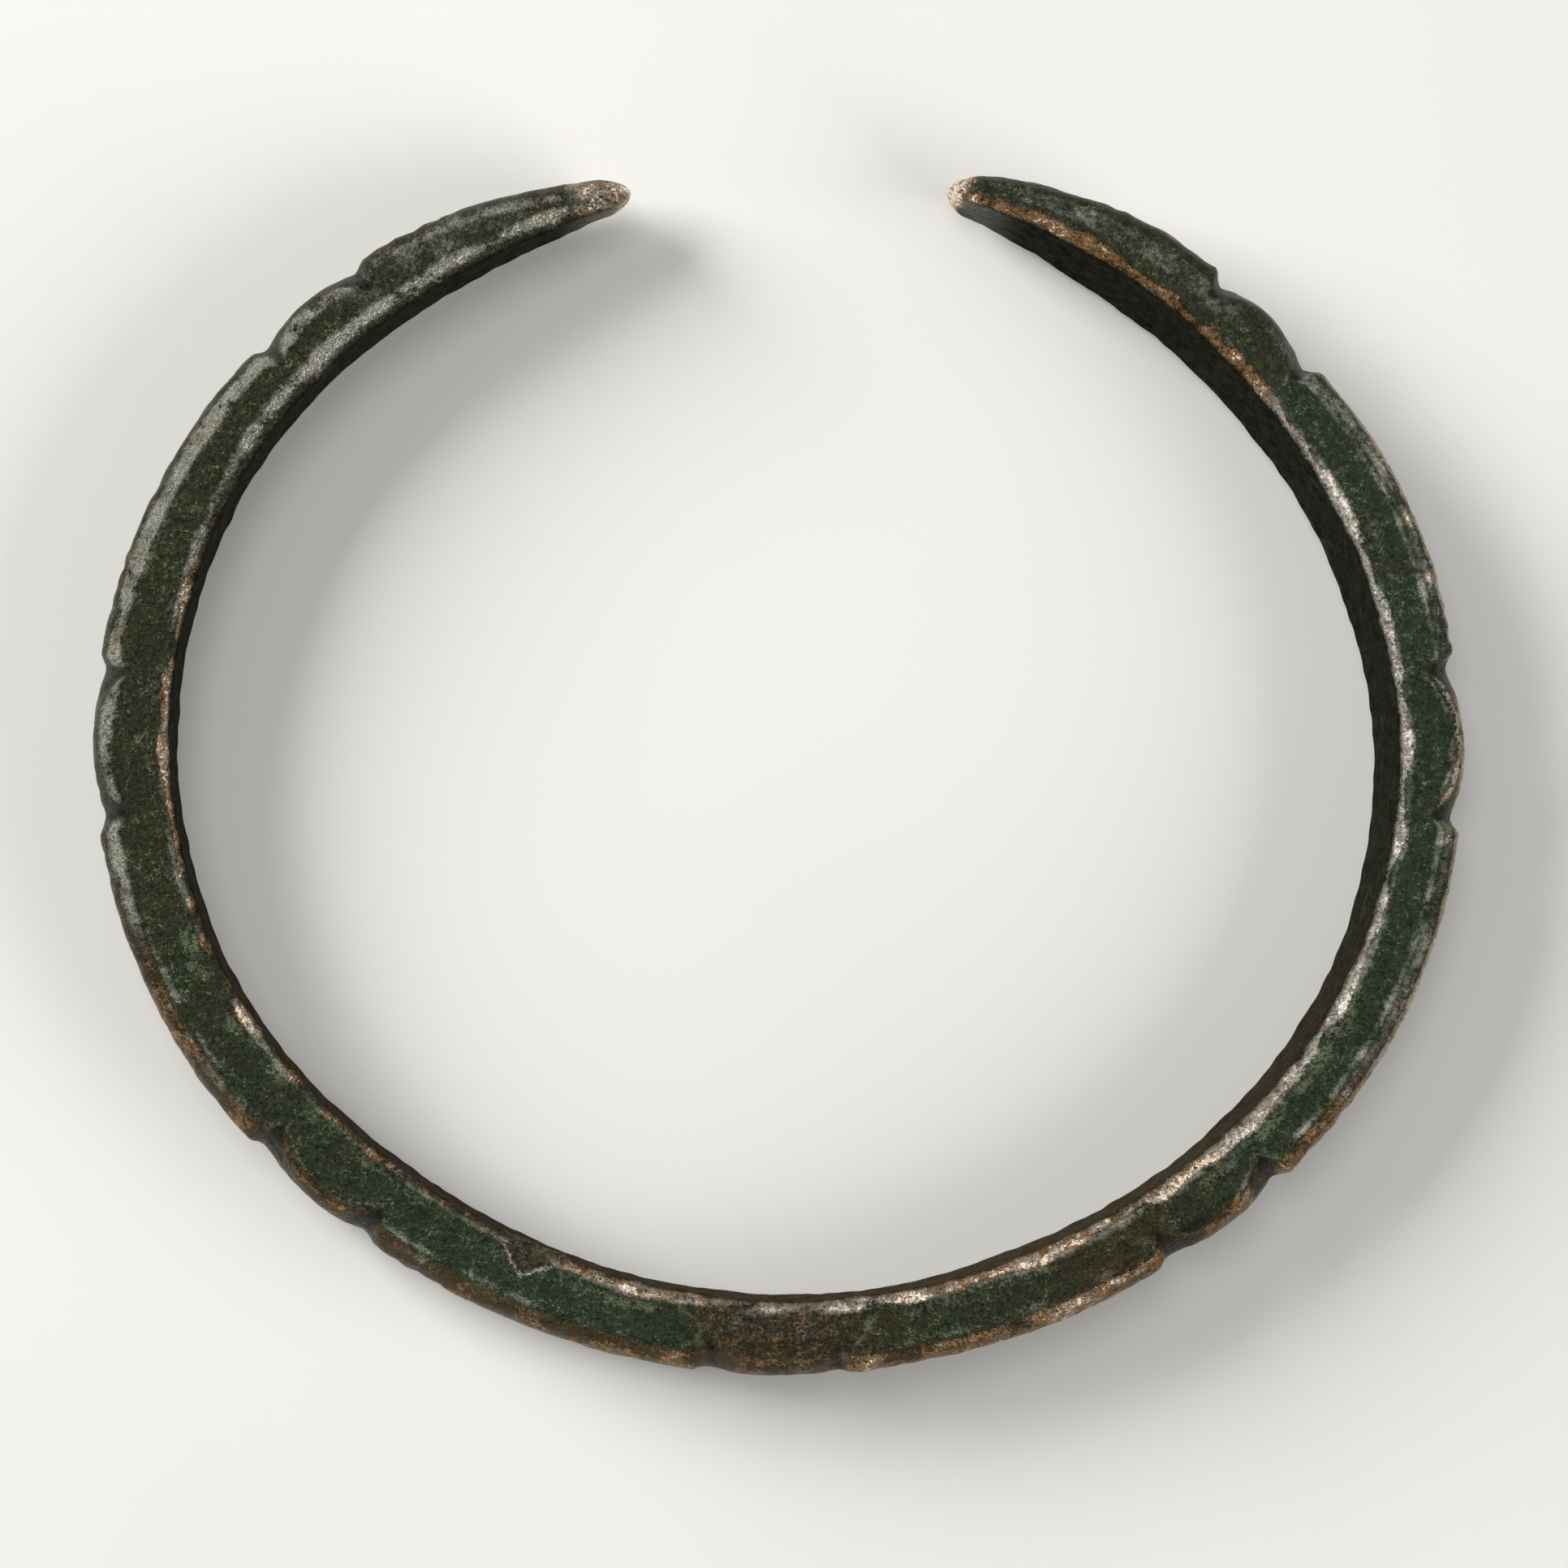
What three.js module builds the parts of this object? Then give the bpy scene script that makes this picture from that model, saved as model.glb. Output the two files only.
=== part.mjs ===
// A cast bronze bracelet: an open ring, lying flat, with seven carved lobes and two tapered ends.
// Millimetres and degrees, +Z up. The ring opens towards +Y and is widest along X.
import * as THREE from "three";

// The line that the inner face of the bar follows: an oval, a little out of true as bent by hand.
const INNER_HALF_WIDTH = 31.2;
const INNER_HALF_DEPTH = 28.8;
const HAND_BENDS = [
  { waves: 3, depth: 0.29, turn: -125 },
  { waves: 4, depth: 0.29, turn: -37 },
  { waves: 5, depth: 0.09, turn: 6 },
  { waves: 6, depth: 0.1, turn: 135 },
];

// The bar's cross-section.
const BAR_HEIGHT = 6.0;
const OUTER_ROUND = 1.1;
const INNER_ROUND = 0.5;
const OUTER_CROWN = 0.15;

// The two ends. An angle is measured round the oval from +X, and is a minus on the way round clockwise.
const RIGHT_END = { angle: 73.4, thickness: 3.2, lean: 9 };
const LEFT_END = { angle: -254.2, thickness: 3.05, lean: 0 };
const END_TAPER = 12;
const TAPER_CURVE = 1.7;
const END_THICKNESS = 1.4;
const END_HEIGHT = 3.0;
const NOSE = 1.5;

// Between two angles the bar swings off the oval, inwards by this much, and beyond them it stays off it.
const SWINGS = [
  { from: 42, to: 62, inwards: 0.45 },
  { from: -5, to: 15, inwards: 0.22 },
  { from: -5, to: -35, inwards: -0.2 },
  { from: -65, to: -105, inwards: 0.2 },
  { from: -215, to: -252, inwards: 0.1 },
];

// The carved lobes, from the right end round to the left. Each has its place and its length along the bar,
// the bar's thickness there, how far the bar leans outwards there, and how deep its two notches are.
const LOBES = [
  { angle: 40.3, length: 5.8, thickness: 3.55, lean: 7, notch: 0.34 },
  { angle: -0.8, length: 7.4, thickness: 3.65, lean: 4.4, notch: 0.34 },
  { angle: -47.2, length: 6.4, thickness: 3.85, lean: 0, notch: 0.34 },
  { angle: -91.2, length: 6.4, thickness: 3.85, lean: 0, notch: 0.2 },
  { angle: -136.7, length: 6.5, thickness: 4.1, lean: 0, notch: 0.34 },
  { angle: -179.1, length: 7.2, thickness: 4.0, lean: 0, notch: 0.34 },
  { angle: -220.9, length: 5.8, thickness: 3.4, lean: 0, notch: 0.3 },
];

// Between the first two lobes the plain bar is a little thicker.
const SWELLING = { angle: 22, thickness: 3.95, lean: 5.7 };

// A notch is steep towards the plain bar and rises to the lobe's middle in an arch. Beside it the outer
// edges are cut away further, this much more for each millimetre of the notch's depth.
const NOTCH_WALL = 0.8;
const LOBE_ARCH = 2.2;
const EDGE_CUT_ACROSS = 1.3;
const EDGE_CUT_ALONG = 4.1;

// The triangular chip out of the near face's inner edge.
const CHIP_ANGLE = -116.5;
const CHIP_LENGTH = 4.4;
const CHIP_REACH = 1.7;
const CHIP_DROP = 0.9;

// How finely the bar is divided.
const PLAIN_STEP = 2.4;
const END_STEP = 1.6;
const LOBE_STEPS = [1, 0.9, 0.75, 0.55, 0.3];
const WALL_STEPS = [0.35, 0.65, 1];
const NOSE_STEPS = 4;
const OUTER_ROUND_STEPS = 4;
const INNER_ROUND_STEPS = 3;
const PATH_SAMPLES = 1440;

const radians = THREE.MathUtils.degToRad;
const mix = THREE.MathUtils.lerp;
const smoothly = THREE.MathUtils.smoothstep;

// A point of the inner face's line at an angle of the oval.
function innerPoint(angle) {
  const a = radians(angle);
  const c = Math.cos(a);
  const s = Math.sin(a);
  const across = Math.hypot(INNER_HALF_DEPTH * c, INNER_HALF_WIDTH * s);
  const oval = (INNER_HALF_WIDTH * INNER_HALF_DEPTH) / across;
  const bent = HAND_BENDS.reduce(
    (sum, bend) => sum + bend.depth * Math.cos(radians(bend.waves * angle - bend.turn)),
    0,
  );
  const swung = SWINGS.reduce((sum, swing) => {
    const share = THREE.MathUtils.clamp((angle - swing.from) / (swing.to - swing.from), 0, 1);
    return sum + swing.inwards * smoothly(share, 0, 1);
  }, 0);
  return new THREE.Vector2(c, s).multiplyScalar(oval + bent - swung);
}

// The direction square to that line, pointing out of the ring.
function outward(angle) {
  const along = innerPoint(angle + 0.05).sub(innerPoint(angle - 0.05)).normalize();
  return new THREE.Vector2(along.y, -along.x);
}

// The bar's thickness or lean at any angle, changing gently from one of these places to the next.
const MARKS = [RIGHT_END, ...LOBES, SWELLING, LEFT_END].sort((a, b) => b.angle - a.angle);

function barValue(key, angle) {
  const next = MARKS.findIndex((mark, i) => i > 0 && (mark.angle <= angle || mark === LEFT_END));
  const from = MARKS[next - 1];
  const to = MARKS[next];
  return mix(from[key], to[key], smoothly(from.angle - angle, 0, from.angle - to.angle));
}

// The distance along the bar, from the right end, at equal steps of the angle, along the middle of the bar.
const path = [{ angle: RIGHT_END.angle, at: 0 }];
let last = midPoint(RIGHT_END.angle);
for (let i = 1; i <= PATH_SAMPLES; i++) {
  const angle = mix(RIGHT_END.angle, LEFT_END.angle, i / PATH_SAMPLES);
  const point = midPoint(angle);
  path.push({ angle, at: path[i - 1].at + point.distanceTo(last) });
  last = point;
}
const BAR_LENGTH = path[PATH_SAMPLES].at;

function midPoint(angle) {
  return innerPoint(angle).addScaledVector(outward(angle), barValue("thickness", angle) / 2);
}

// The distance along the bar of an angle, and the angle of a distance.
function distanceOf(angle) {
  const step = ((RIGHT_END.angle - angle) / (RIGHT_END.angle - LEFT_END.angle)) * PATH_SAMPLES;
  const i = THREE.MathUtils.clamp(Math.floor(step), 0, PATH_SAMPLES - 1);
  return mix(path[i].at, path[i + 1].at, step - i);
}

function angleOf(at) {
  const i = Math.max(1, path.findIndex((point) => point.at >= at));
  return mix(path[i - 1].angle, path[i].angle, (at - path[i - 1].at) / (path[i].at - path[i - 1].at));
}

// How deep the notches are at a distance along the bar, in millimetres.
function notchDepth(at) {
  let depth = 0;
  for (const lobe of LOBES) {
    const off = Math.abs(at - distanceOf(lobe.angle));
    const half = lobe.length / 2;
    const share = off <= half ? (off / half) ** LOBE_ARCH : 1 - smoothly(off, half, half + NOTCH_WALL);
    depth = Math.max(depth, lobe.notch * share);
  }
  return depth;
}

// How far the chip reaches across the near face at a distance along the bar.
function chipReach(at) {
  const off = Math.abs(at - distanceOf(CHIP_ANGLE));
  return CHIP_REACH * Math.max(0, 1 - off / (CHIP_LENGTH / 2));
}

// A corner of the section's outline: the quarter of an oval with its middle at (u, w), beginning at the
// angle `from`. Where `flat` is 1 it is cut straight.
function corner(u, w, across, along, steps, from, flat = 0) {
  const middle = new THREE.Vector2();
  const quarter = (share) => new THREE.Vector2(1, 0).rotateAround(middle, radians(from + 90 * share));
  const points = [];
  for (let i = 0; i <= steps; i++) {
    const share = i / steps;
    const straight = quarter(0).lerp(quarter(1), share);
    const point = quarter(share).lerp(straight, flat);
    points.push([u + across * point.x, w + along * point.y]);
  }
  return points;
}

// The section at a distance along the bar, as [out from the inner face, up from mid-height] pairs.
function section(at) {
  const toEnd = Math.min(at, BAR_LENGTH - at);
  const taper = Math.max(0, 1 - toEnd / END_TAPER) ** TAPER_CURVE;
  const nose = Math.sqrt(1 - Math.max(0, 1 - toEnd / NOSE) ** 2);
  const middle = mix(barValue("thickness", angleOf(at)), END_THICKNESS, taper) / 2;
  const notch = notchDepth(at);
  const outer = middle + middle * nose - notch;
  const inner = middle - middle * nose;
  const top = (mix(BAR_HEIGHT, END_HEIGHT, taper) / 2) * nose;

  // Each edge is rounded by as much as the narrowing bar has room for.
  const width = outer - inner;
  const outAcross = Math.min(OUTER_ROUND + EDGE_CUT_ACROSS * notch, width * 0.6);
  const outAlong = Math.min(OUTER_ROUND + EDGE_CUT_ALONG * notch, top * 0.85);
  const inRound = Math.min(INNER_ROUND, width * 0.35, top * 0.5);
  const crown = OUTER_CROWN * nose * (1 - outAlong / top);

  const chip = chipReach(at);
  const chipped = Math.min(1, chip / INNER_ROUND);
  const inAcross = Math.max(inRound, chip);
  const inDown = Math.max(inRound, chip * CHIP_DROP);

  return [
    [outer + crown, 0],
    ...corner(outer - outAcross, top - outAlong, outAcross, outAlong, OUTER_ROUND_STEPS, 0),
    ...corner(inner + inAcross, top - inDown, inAcross, inDown, INNER_ROUND_STEPS, 90, chipped),
    ...corner(inner + inRound, inRound - top, inRound, inRound, INNER_ROUND_STEPS, 180),
    ...corner(outer - outAcross, outAlong - top, outAcross, outAlong, OUTER_ROUND_STEPS, 270),
  ];
}

// A point of a section in space. Where the bar leans outwards it is raised, so that it still stands on
// the ground.
function placed(at, [out, up]) {
  const angle = angleOf(at);
  const lean = radians(barValue("lean", angle));
  const raised = (barValue("thickness", angle) - OUTER_ROUND) * Math.sin(lean);
  const reach = out * Math.cos(lean) + up * Math.sin(lean);
  const plan = innerPoint(angle).addScaledVector(outward(angle), reach);
  return [plan.x, plan.y, up * Math.cos(lean) - out * Math.sin(lean) + raised];
}

// Where the bar is divided: closely at the noses, the lobes and the chip, and evenly in between.
function stations() {
  const marks = [];
  for (let i = 1; i <= NOSE_STEPS; i++) {
    const off = NOSE * (1 - Math.cos(radians((90 * i) / NOSE_STEPS)));
    marks.push(off, BAR_LENGTH - off);
  }
  for (const lobe of LOBES) {
    const middle = distanceOf(lobe.angle);
    const half = lobe.length / 2;
    marks.push(middle);
    for (const share of LOBE_STEPS) marks.push(middle - half * share, middle + half * share);
    for (const share of WALL_STEPS) {
      const off = half + NOTCH_WALL * share;
      marks.push(middle - off, middle + off);
    }
  }
  for (const share of [-1, -0.5, 0, 0.5, 1]) marks.push(distanceOf(CHIP_ANGLE) + (share * CHIP_LENGTH) / 2);
  marks.sort((a, b) => a - b);
  const all = [];
  marks.forEach((mark, k) => {
    all.push(mark);
    const gap = marks[k + 1] - mark;
    const nearEnd = Math.min(mark, BAR_LENGTH - mark) < END_TAPER;
    const parts = Math.ceil(gap / (nearEnd ? END_STEP : PLAIN_STEP));
    for (let p = 1; p < parts; p++) all.push(mark + (gap * p) / parts);
  });
  return all;
}

// The whole bar as one closed body: rings of section points, with a point at the tip of each nose.
function barGeometry() {
  const rings = stations().map((at) => section(at).map((point) => placed(at, point)));
  const size = rings[0].length;
  const tip = (at) => placed(at, [END_THICKNESS / 2, 0]);
  const positions = [...rings.flat(), tip(0), tip(BAR_LENGTH)].flat();
  const rightTip = rings.length * size;
  const leftTip = rightTip + 1;
  const index = [];
  for (let k = 0; k < size; k++) {
    const next = (k + 1) % size;
    for (let r = 0; r + 1 < rings.length; r++) {
      const a = r * size + k;
      const b = r * size + next;
      const c = (r + 1) * size + next;
      const d = (r + 1) * size + k;
      index.push(a, b, c, a, c, d);
    }
    const lastRing = (rings.length - 1) * size;
    index.push(rightTip, next, k, leftTip, lastRing + k, lastRing + next);
  }
  const geometry = new THREE.BufferGeometry();
  geometry.setAttribute("position", new THREE.Float32BufferAttribute(positions, 3));
  geometry.setIndex(index);
  geometry.computeVertexNormals();
  return geometry;
}

const bracelet = new THREE.Mesh(
  barGeometry(),
  new THREE.MeshStandardMaterial({ color: 0x35382a, roughness: 0.45, metalness: 0.85 }),
);
bracelet.name = "bracelet";

// The part's origin is under the middle of the bracelet, on the ground.
bracelet.geometry.computeBoundingBox();
const box = bracelet.geometry.boundingBox;
const middle = box.getCenter(new THREE.Vector3());
bracelet.position.set(-middle.x, -middle.y, -box.min.z);

const part = new THREE.Group();
part.add(bracelet);

export default part;
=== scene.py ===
"""A worn bronze bracelet on a pale table: its form, its carved surface, its finish and its light."""

import logging
import math
from dataclasses import dataclass
from enum import Enum

import bpy
import numpy as np
from mathutils import Matrix, Vector


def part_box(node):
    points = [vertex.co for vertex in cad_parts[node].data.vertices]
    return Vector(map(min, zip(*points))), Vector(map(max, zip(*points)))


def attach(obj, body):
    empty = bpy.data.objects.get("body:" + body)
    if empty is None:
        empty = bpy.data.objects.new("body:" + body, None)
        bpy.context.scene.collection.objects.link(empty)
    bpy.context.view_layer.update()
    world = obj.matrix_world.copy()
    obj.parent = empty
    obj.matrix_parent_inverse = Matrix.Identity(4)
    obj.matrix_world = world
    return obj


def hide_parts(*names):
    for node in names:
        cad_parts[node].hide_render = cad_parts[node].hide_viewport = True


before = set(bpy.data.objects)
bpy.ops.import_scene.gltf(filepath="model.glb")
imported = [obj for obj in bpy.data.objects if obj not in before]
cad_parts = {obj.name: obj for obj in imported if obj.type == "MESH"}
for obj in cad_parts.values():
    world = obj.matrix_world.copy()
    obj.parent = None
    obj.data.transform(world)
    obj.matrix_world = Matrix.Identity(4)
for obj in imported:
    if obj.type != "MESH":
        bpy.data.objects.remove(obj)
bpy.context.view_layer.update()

MM = 0.001
LOG = logging.getLogger("bracelet")


def smooth(low: float, high: float, value: np.ndarray | float) -> np.ndarray:
    """Rises gently from 0 at low to 1 at high.

    Args:
        low: Where the rise begins.
        high: Where it ends; it may be the smaller number, for a fall.
        value: What is measured.

    Returns:
        The share, from 0 to 1.
    """
    share = np.clip((value - low) / (high - low), 0.0, 1.0)
    return share * share * (3.0 - 2.0 * share)


def hump(value: np.ndarray, middle: np.ndarray | float, width: np.ndarray | float) -> np.ndarray:
    """A soft hump, 1 at its middle and 0 far from it.

    Args:
        value: What is measured.
        middle: Where the hump stands.
        width: How far from there it has fallen to about a third.

    Returns:
        The share, from 0 to 1.
    """
    return np.exp(-(((value - middle) / width) ** 2))


def put(name: str, data: bpy.types.ID) -> bpy.types.Object:
    """Puts an object in the scene.

    Args:
        name: Its name.
        data: Its mesh, light or camera.

    Returns:
        The object.
    """
    thing = bpy.data.objects.new(name, data)
    bpy.context.collection.objects.link(thing)
    return thing


@dataclass(frozen=True)
class Lumps:
    """A soft random unevenness, the sum of many crossing waves.

    Attributes:
        size: About how wide one lump is, in millimetres.
        seed: Which of the many such surfaces this is.
        waves: How many waves are summed.
    """

    size: float
    seed: int
    waves: int = 48

    def at(self, points: np.ndarray) -> np.ndarray:
        """The unevenness at some points.

        Args:
            points: Rows of coordinates in millimetres.

        Returns:
            Values spread about 0, mostly between -2 and 2.
        """
        chance = np.random.default_rng(self.seed)
        ways = chance.normal(size=(self.waves, points.shape[-1]))
        ways /= np.linalg.norm(ways, axis=1, keepdims=True)
        ways *= math.pi / self.size * chance.uniform(0.55, 1.45, (self.waves, 1))
        turns = chance.uniform(0.0, math.tau, self.waves)
        return np.cos(points @ ways.T + turns).sum(axis=-1) * math.sqrt(2.0 / self.waves)


@dataclass(frozen=True)
class HandBend:
    """One wave of the ring being out of true.

    Attributes:
        waves: How many times it goes in and out round the ring.
        depth: How far, in millimetres.
        turn: How far the wave is turned, in degrees.
    """

    waves: int
    depth: float
    turn: float


@dataclass(frozen=True)
class EndSwing:
    """A stretch over which the bar swings off its oval.

    Attributes:
        start: The angle where it begins, in degrees.
        stop: The angle where it has swung fully.
        inwards: How far towards the ring's middle, in millimetres.
    """

    start: float
    stop: float
    inwards: float


@dataclass(frozen=True)
class BarMark:
    """A place along the bar with its own thickness and lean; a lobe where it has a length.

    Attributes:
        angle: Its place round the oval, in degrees.
        thickness: The bar's thickness there, in millimetres.
        lean: How far the bar leans outwards there, in degrees.
        length: The lobe's length along the bar, or 0 at an end of the bar.
        notch: The depth of the lobe's two notches.
    """

    angle: float
    thickness: float
    lean: float
    length: float = 0.0
    notch: float = 0.0


@dataclass(frozen=True)
class Ring:
    """One division of the section's outline.

    Attributes:
        out: Distances out from the inner face, a row for each station of the bar.
        up: Heights over the bar's middle, in the same rows.
    """

    out: np.ndarray
    up: np.ndarray


@dataclass
class BarForm:
    """The cast bar of the bracelet, as the part's source draws it, in millimetres and degrees."""

    inner_half_width: float = 31.2
    inner_half_depth: float = 28.8
    bends: tuple[HandBend, ...] = (
        HandBend(3, 0.29, -125),
        HandBend(4, 0.29, -37),
        HandBend(5, 0.09, 6),
        HandBend(6, 0.10, 135),
    )
    swings: tuple[EndSwing, ...] = (
        EndSwing(42, 62, 0.45),
        EndSwing(-5, 15, 0.22),
        EndSwing(-5, -35, -0.2),
        EndSwing(-65, -105, 0.2),
        EndSwing(-215, -252, 0.1),
    )
    height: float = 6.0
    outer_round: float = 1.1
    inner_round: float = 0.5
    outer_crown: float = 0.15
    end_taper: float = 12.0
    taper_curve: float = 1.7
    end_thickness: float = 1.4
    end_height: float = 3.0
    nose: float = 1.5
    marks: tuple[BarMark, ...] = (
        BarMark(73.4, 3.2, 9.0),
        BarMark(40.3, 3.55, 7.0, 5.8, 0.34),
        BarMark(22.0, 3.95, 5.7),
        BarMark(-0.8, 3.65, 4.4, 7.4, 0.34),
        BarMark(-47.2, 3.85, 0.0, 6.4, 0.34),
        BarMark(-91.2, 3.85, 0.0, 6.4, 0.20),
        BarMark(-136.7, 4.1, 0.0, 6.5, 0.34),
        BarMark(-179.1, 4.0, 0.0, 7.2, 0.34),
        BarMark(-220.9, 3.4, 0.0, 5.8, 0.30),
        BarMark(-254.2, 3.05, 0.0),
    )
    notch_wall: float = 0.8
    lobe_arch: float = 2.2
    edge_cut_across: float = 1.3
    edge_cut_along: float = 4.1
    chip_angle: float = -116.5
    chip_length: float = 4.4
    chip_reach: float = 1.7
    chip_drop: float = 0.9
    path_steps: int = 2880

    def __post_init__(self) -> None:
        """Measures the bar once along its middle."""
        self._angles = np.linspace(self.marks[0].angle, self.marks[-1].angle, self.path_steps + 1)
        middle = self.inner_line(self._angles) + self.outward(self._angles) * (
            self.mark_value("thickness", self._angles)[:, None] / 2
        )
        steps = np.linalg.norm(np.diff(middle, axis=0), axis=1)
        self._distances = np.concatenate([[0.0], np.cumsum(steps)])
        self.length = float(self._distances[-1])

    @property
    def lobes(self) -> list[BarMark]:
        """The marks that are lobes."""
        return [mark for mark in self.marks if mark.length]

    def inner_line(self, angle: np.ndarray) -> np.ndarray:
        """Points of the inner face's line.

        Args:
            angle: Angles round the oval.

        Returns:
            Rows of x and y.
        """
        a = np.radians(angle)
        reach = self.inner_half_width * self.inner_half_depth
        reach = reach / np.hypot(self.inner_half_depth * np.cos(a), self.inner_half_width * np.sin(a))
        for bend in self.bends:
            reach = reach + bend.depth * np.cos(np.radians(bend.waves * angle - bend.turn))
        for swing in self.swings:
            reach = reach - swing.inwards * smooth(swing.start, swing.stop, angle)
        return np.stack([np.cos(a), np.sin(a)], axis=-1) * reach[..., None]

    def outward(self, angle: np.ndarray) -> np.ndarray:
        """The directions square to the inner line, pointing out of the ring.

        Args:
            angle: Angles round the oval.

        Returns:
            Rows of x and y, each of length 1.
        """
        along = self.inner_line(angle + 0.05) - self.inner_line(angle - 0.05)
        along /= np.linalg.norm(along, axis=-1, keepdims=True)
        return np.stack([along[..., 1], -along[..., 0]], axis=-1)

    def mark_value(self, key: str, angle: np.ndarray) -> np.ndarray:
        """The bar's thickness or lean, changing gently from one mark to the next.

        Args:
            key: Which of a mark's values.
            angle: Angles round the oval.

        Returns:
            The value at each angle.
        """
        value = np.full(np.shape(angle), getattr(self.marks[0], key), dtype=float)
        for here, there in zip(self.marks, self.marks[1:]):
            share = smooth(here.angle, there.angle, angle)
            value = value + share * (getattr(there, key) - getattr(here, key))
        return value

    def distance_of(self, angle: float) -> float:
        """The distance along the bar, from its right end, of an angle."""
        return float(np.interp(-angle, -self._angles, self._distances))

    def angle_of(self, at: np.ndarray) -> np.ndarray:
        """The angles of distances along the bar."""
        return np.interp(at, self._distances, self._angles)

    def notch_depth(self, at: np.ndarray) -> np.ndarray:
        """How deep the notches are at distances along the bar.

        Args:
            at: Distances along the bar.

        Returns:
            Depths in millimetres.
        """
        depth = np.zeros_like(at)
        for lobe in self.lobes:
            off = np.abs(at - self.distance_of(lobe.angle))
            half = lobe.length / 2
            arch = (np.minimum(off, half) / half) ** self.lobe_arch
            wall = 1.0 - smooth(half, half + self.notch_wall, off)
            depth = np.maximum(depth, lobe.notch * np.where(off <= half, arch, wall))
        return depth

    def chip_depth(self, at: np.ndarray) -> np.ndarray:
        """How far the chip reaches across the near face at distances along the bar."""
        off = np.abs(at - self.distance_of(self.chip_angle))
        return self.chip_reach * np.maximum(0.0, 1.0 - off / (self.chip_length / 2))

    def section(self, at: np.ndarray, steps: "SectionSteps") -> Ring:
        """The bar's sections, one row for each distance along the bar.

        Args:
            at: Distances along the bar.
            steps: How finely each part of the outline is divided.

        Returns:
            The outline, going from the outer side over the near face and down the inner side.
        """
        to_end = np.minimum(at, self.length - at)
        taper = np.maximum(0.0, 1.0 - to_end / self.end_taper) ** self.taper_curve
        nose = np.sqrt(1.0 - np.maximum(0.0, 1.0 - to_end / self.nose) ** 2)
        thickness = self.mark_value("thickness", self.angle_of(at))
        middle = (thickness + (self.end_thickness - thickness) * taper) / 2
        notch = self.notch_depth(at)
        outer = middle + middle * nose - notch
        inner = middle - middle * nose
        top = (self.height + (self.end_height - self.height) * taper) / 2 * nose
        width = outer - inner
        out_across = np.minimum(self.outer_round + self.edge_cut_across * notch, width * 0.6)
        out_along = np.minimum(self.outer_round + self.edge_cut_along * notch, top * 0.85)
        in_round = np.minimum.reduce([np.full_like(at, self.inner_round), width * 0.35, top * 0.5])
        crown = self.outer_crown * nose * (1.0 - out_along / top)
        chip = self.chip_depth(at)
        chipped = np.minimum(1.0, chip / self.inner_round)
        in_across = np.maximum(in_round, chip)
        in_down = np.maximum(in_round, chip * self.chip_drop)
        low, high = out_along - top, top - out_along
        outs, ups = [], []

        def run(start: tuple, stop: tuple, count: int, bulge: np.ndarray | float = 0.0) -> None:
            """Adds a straight run of the outline, without its last point.

            Args:
                start: Out and up at its start.
                stop: Out and up at its end.
                count: How many points it has.
                bulge: How far its middle stands out.
            """
            for share in np.arange(count) / count:
                outs.append(start[0] + (stop[0] - start[0]) * share + bulge * 4 * share * (1 - share))
                ups.append(start[1] + (stop[1] - start[1]) * share)

        def corner(out: np.ndarray, up: np.ndarray, across: np.ndarray, along: np.ndarray, count: int,
                   turn: float, flat: np.ndarray | float = 0.0) -> None:
            """Adds a rounded corner of the outline, without its last point.

            Args:
                out: The rounding's middle, out from the inner face.
                up: The rounding's middle, over mid-height.
                across: The rounding's half width.
                along: The rounding's half height.
                count: How many points it has.
                turn: The angle where it starts, in degrees.
                flat: The share by which it is cut straight.
            """
            first, last = math.radians(turn), math.radians(turn + 90)
            for share in np.arange(count) / count:
                a = first + (last - first) * share
                straight = (math.cos(first) * (1 - share) + math.cos(last) * share,
                            math.sin(first) * (1 - share) + math.sin(last) * share)
                outs.append(out + across * (math.cos(a) * (1 - flat) + straight[0] * flat))
                ups.append(up + along * (math.sin(a) * (1 - flat) + straight[1] * flat))

        run((outer, low), (outer, high), steps.outer_side, crown)
        corner(outer - out_across, high, out_across, out_along, steps.outer_corner, 0)
        run((outer - out_across, top), (inner + in_across, top), steps.near_face)
        corner(inner + in_across, top - in_down, in_across, in_down, steps.inner_corner, 90, chipped)
        run((inner, top - in_down), (inner, in_round - top), steps.inner_side)
        corner(inner + in_round, in_round - top, in_round, in_round, steps.inner_foot, 180)
        run((inner + in_round, -top), (outer - out_across, -top), steps.underside)
        corner(outer - out_across, low, out_across, out_along, steps.outer_foot, 270)
        return Ring(np.stack(outs, axis=1), np.stack(ups, axis=1))

    def placed(self, at: np.ndarray, ring: Ring) -> np.ndarray:
        """Sections put in space.

        Args:
            at: Distances along the bar.
            ring: The sections.

        Returns:
            The points' x, y and z, by station and by place round the section.
        """
        angle = self.angle_of(at)
        lean = np.radians(self.mark_value("lean", angle))[:, None]
        raised = (self.mark_value("thickness", angle)[:, None] - self.outer_round) * np.sin(lean)
        reach = ring.out * np.cos(lean) + ring.up * np.sin(lean)
        plan = self.inner_line(angle)[:, None, :] + self.outward(angle)[:, None, :] * reach[..., None]
        rise = ring.up * np.cos(lean) - ring.out * np.sin(lean) + raised
        return np.concatenate([plan, rise[..., None]], axis=-1)


@dataclass(frozen=True)
class SectionSteps:
    """How many points each part of the section's outline has."""

    outer_side: int = 16
    outer_corner: int = 18
    near_face: int = 28
    inner_corner: int = 9
    inner_side: int = 16
    inner_foot: int = 5
    underside: int = 11
    outer_foot: int = 9


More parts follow.
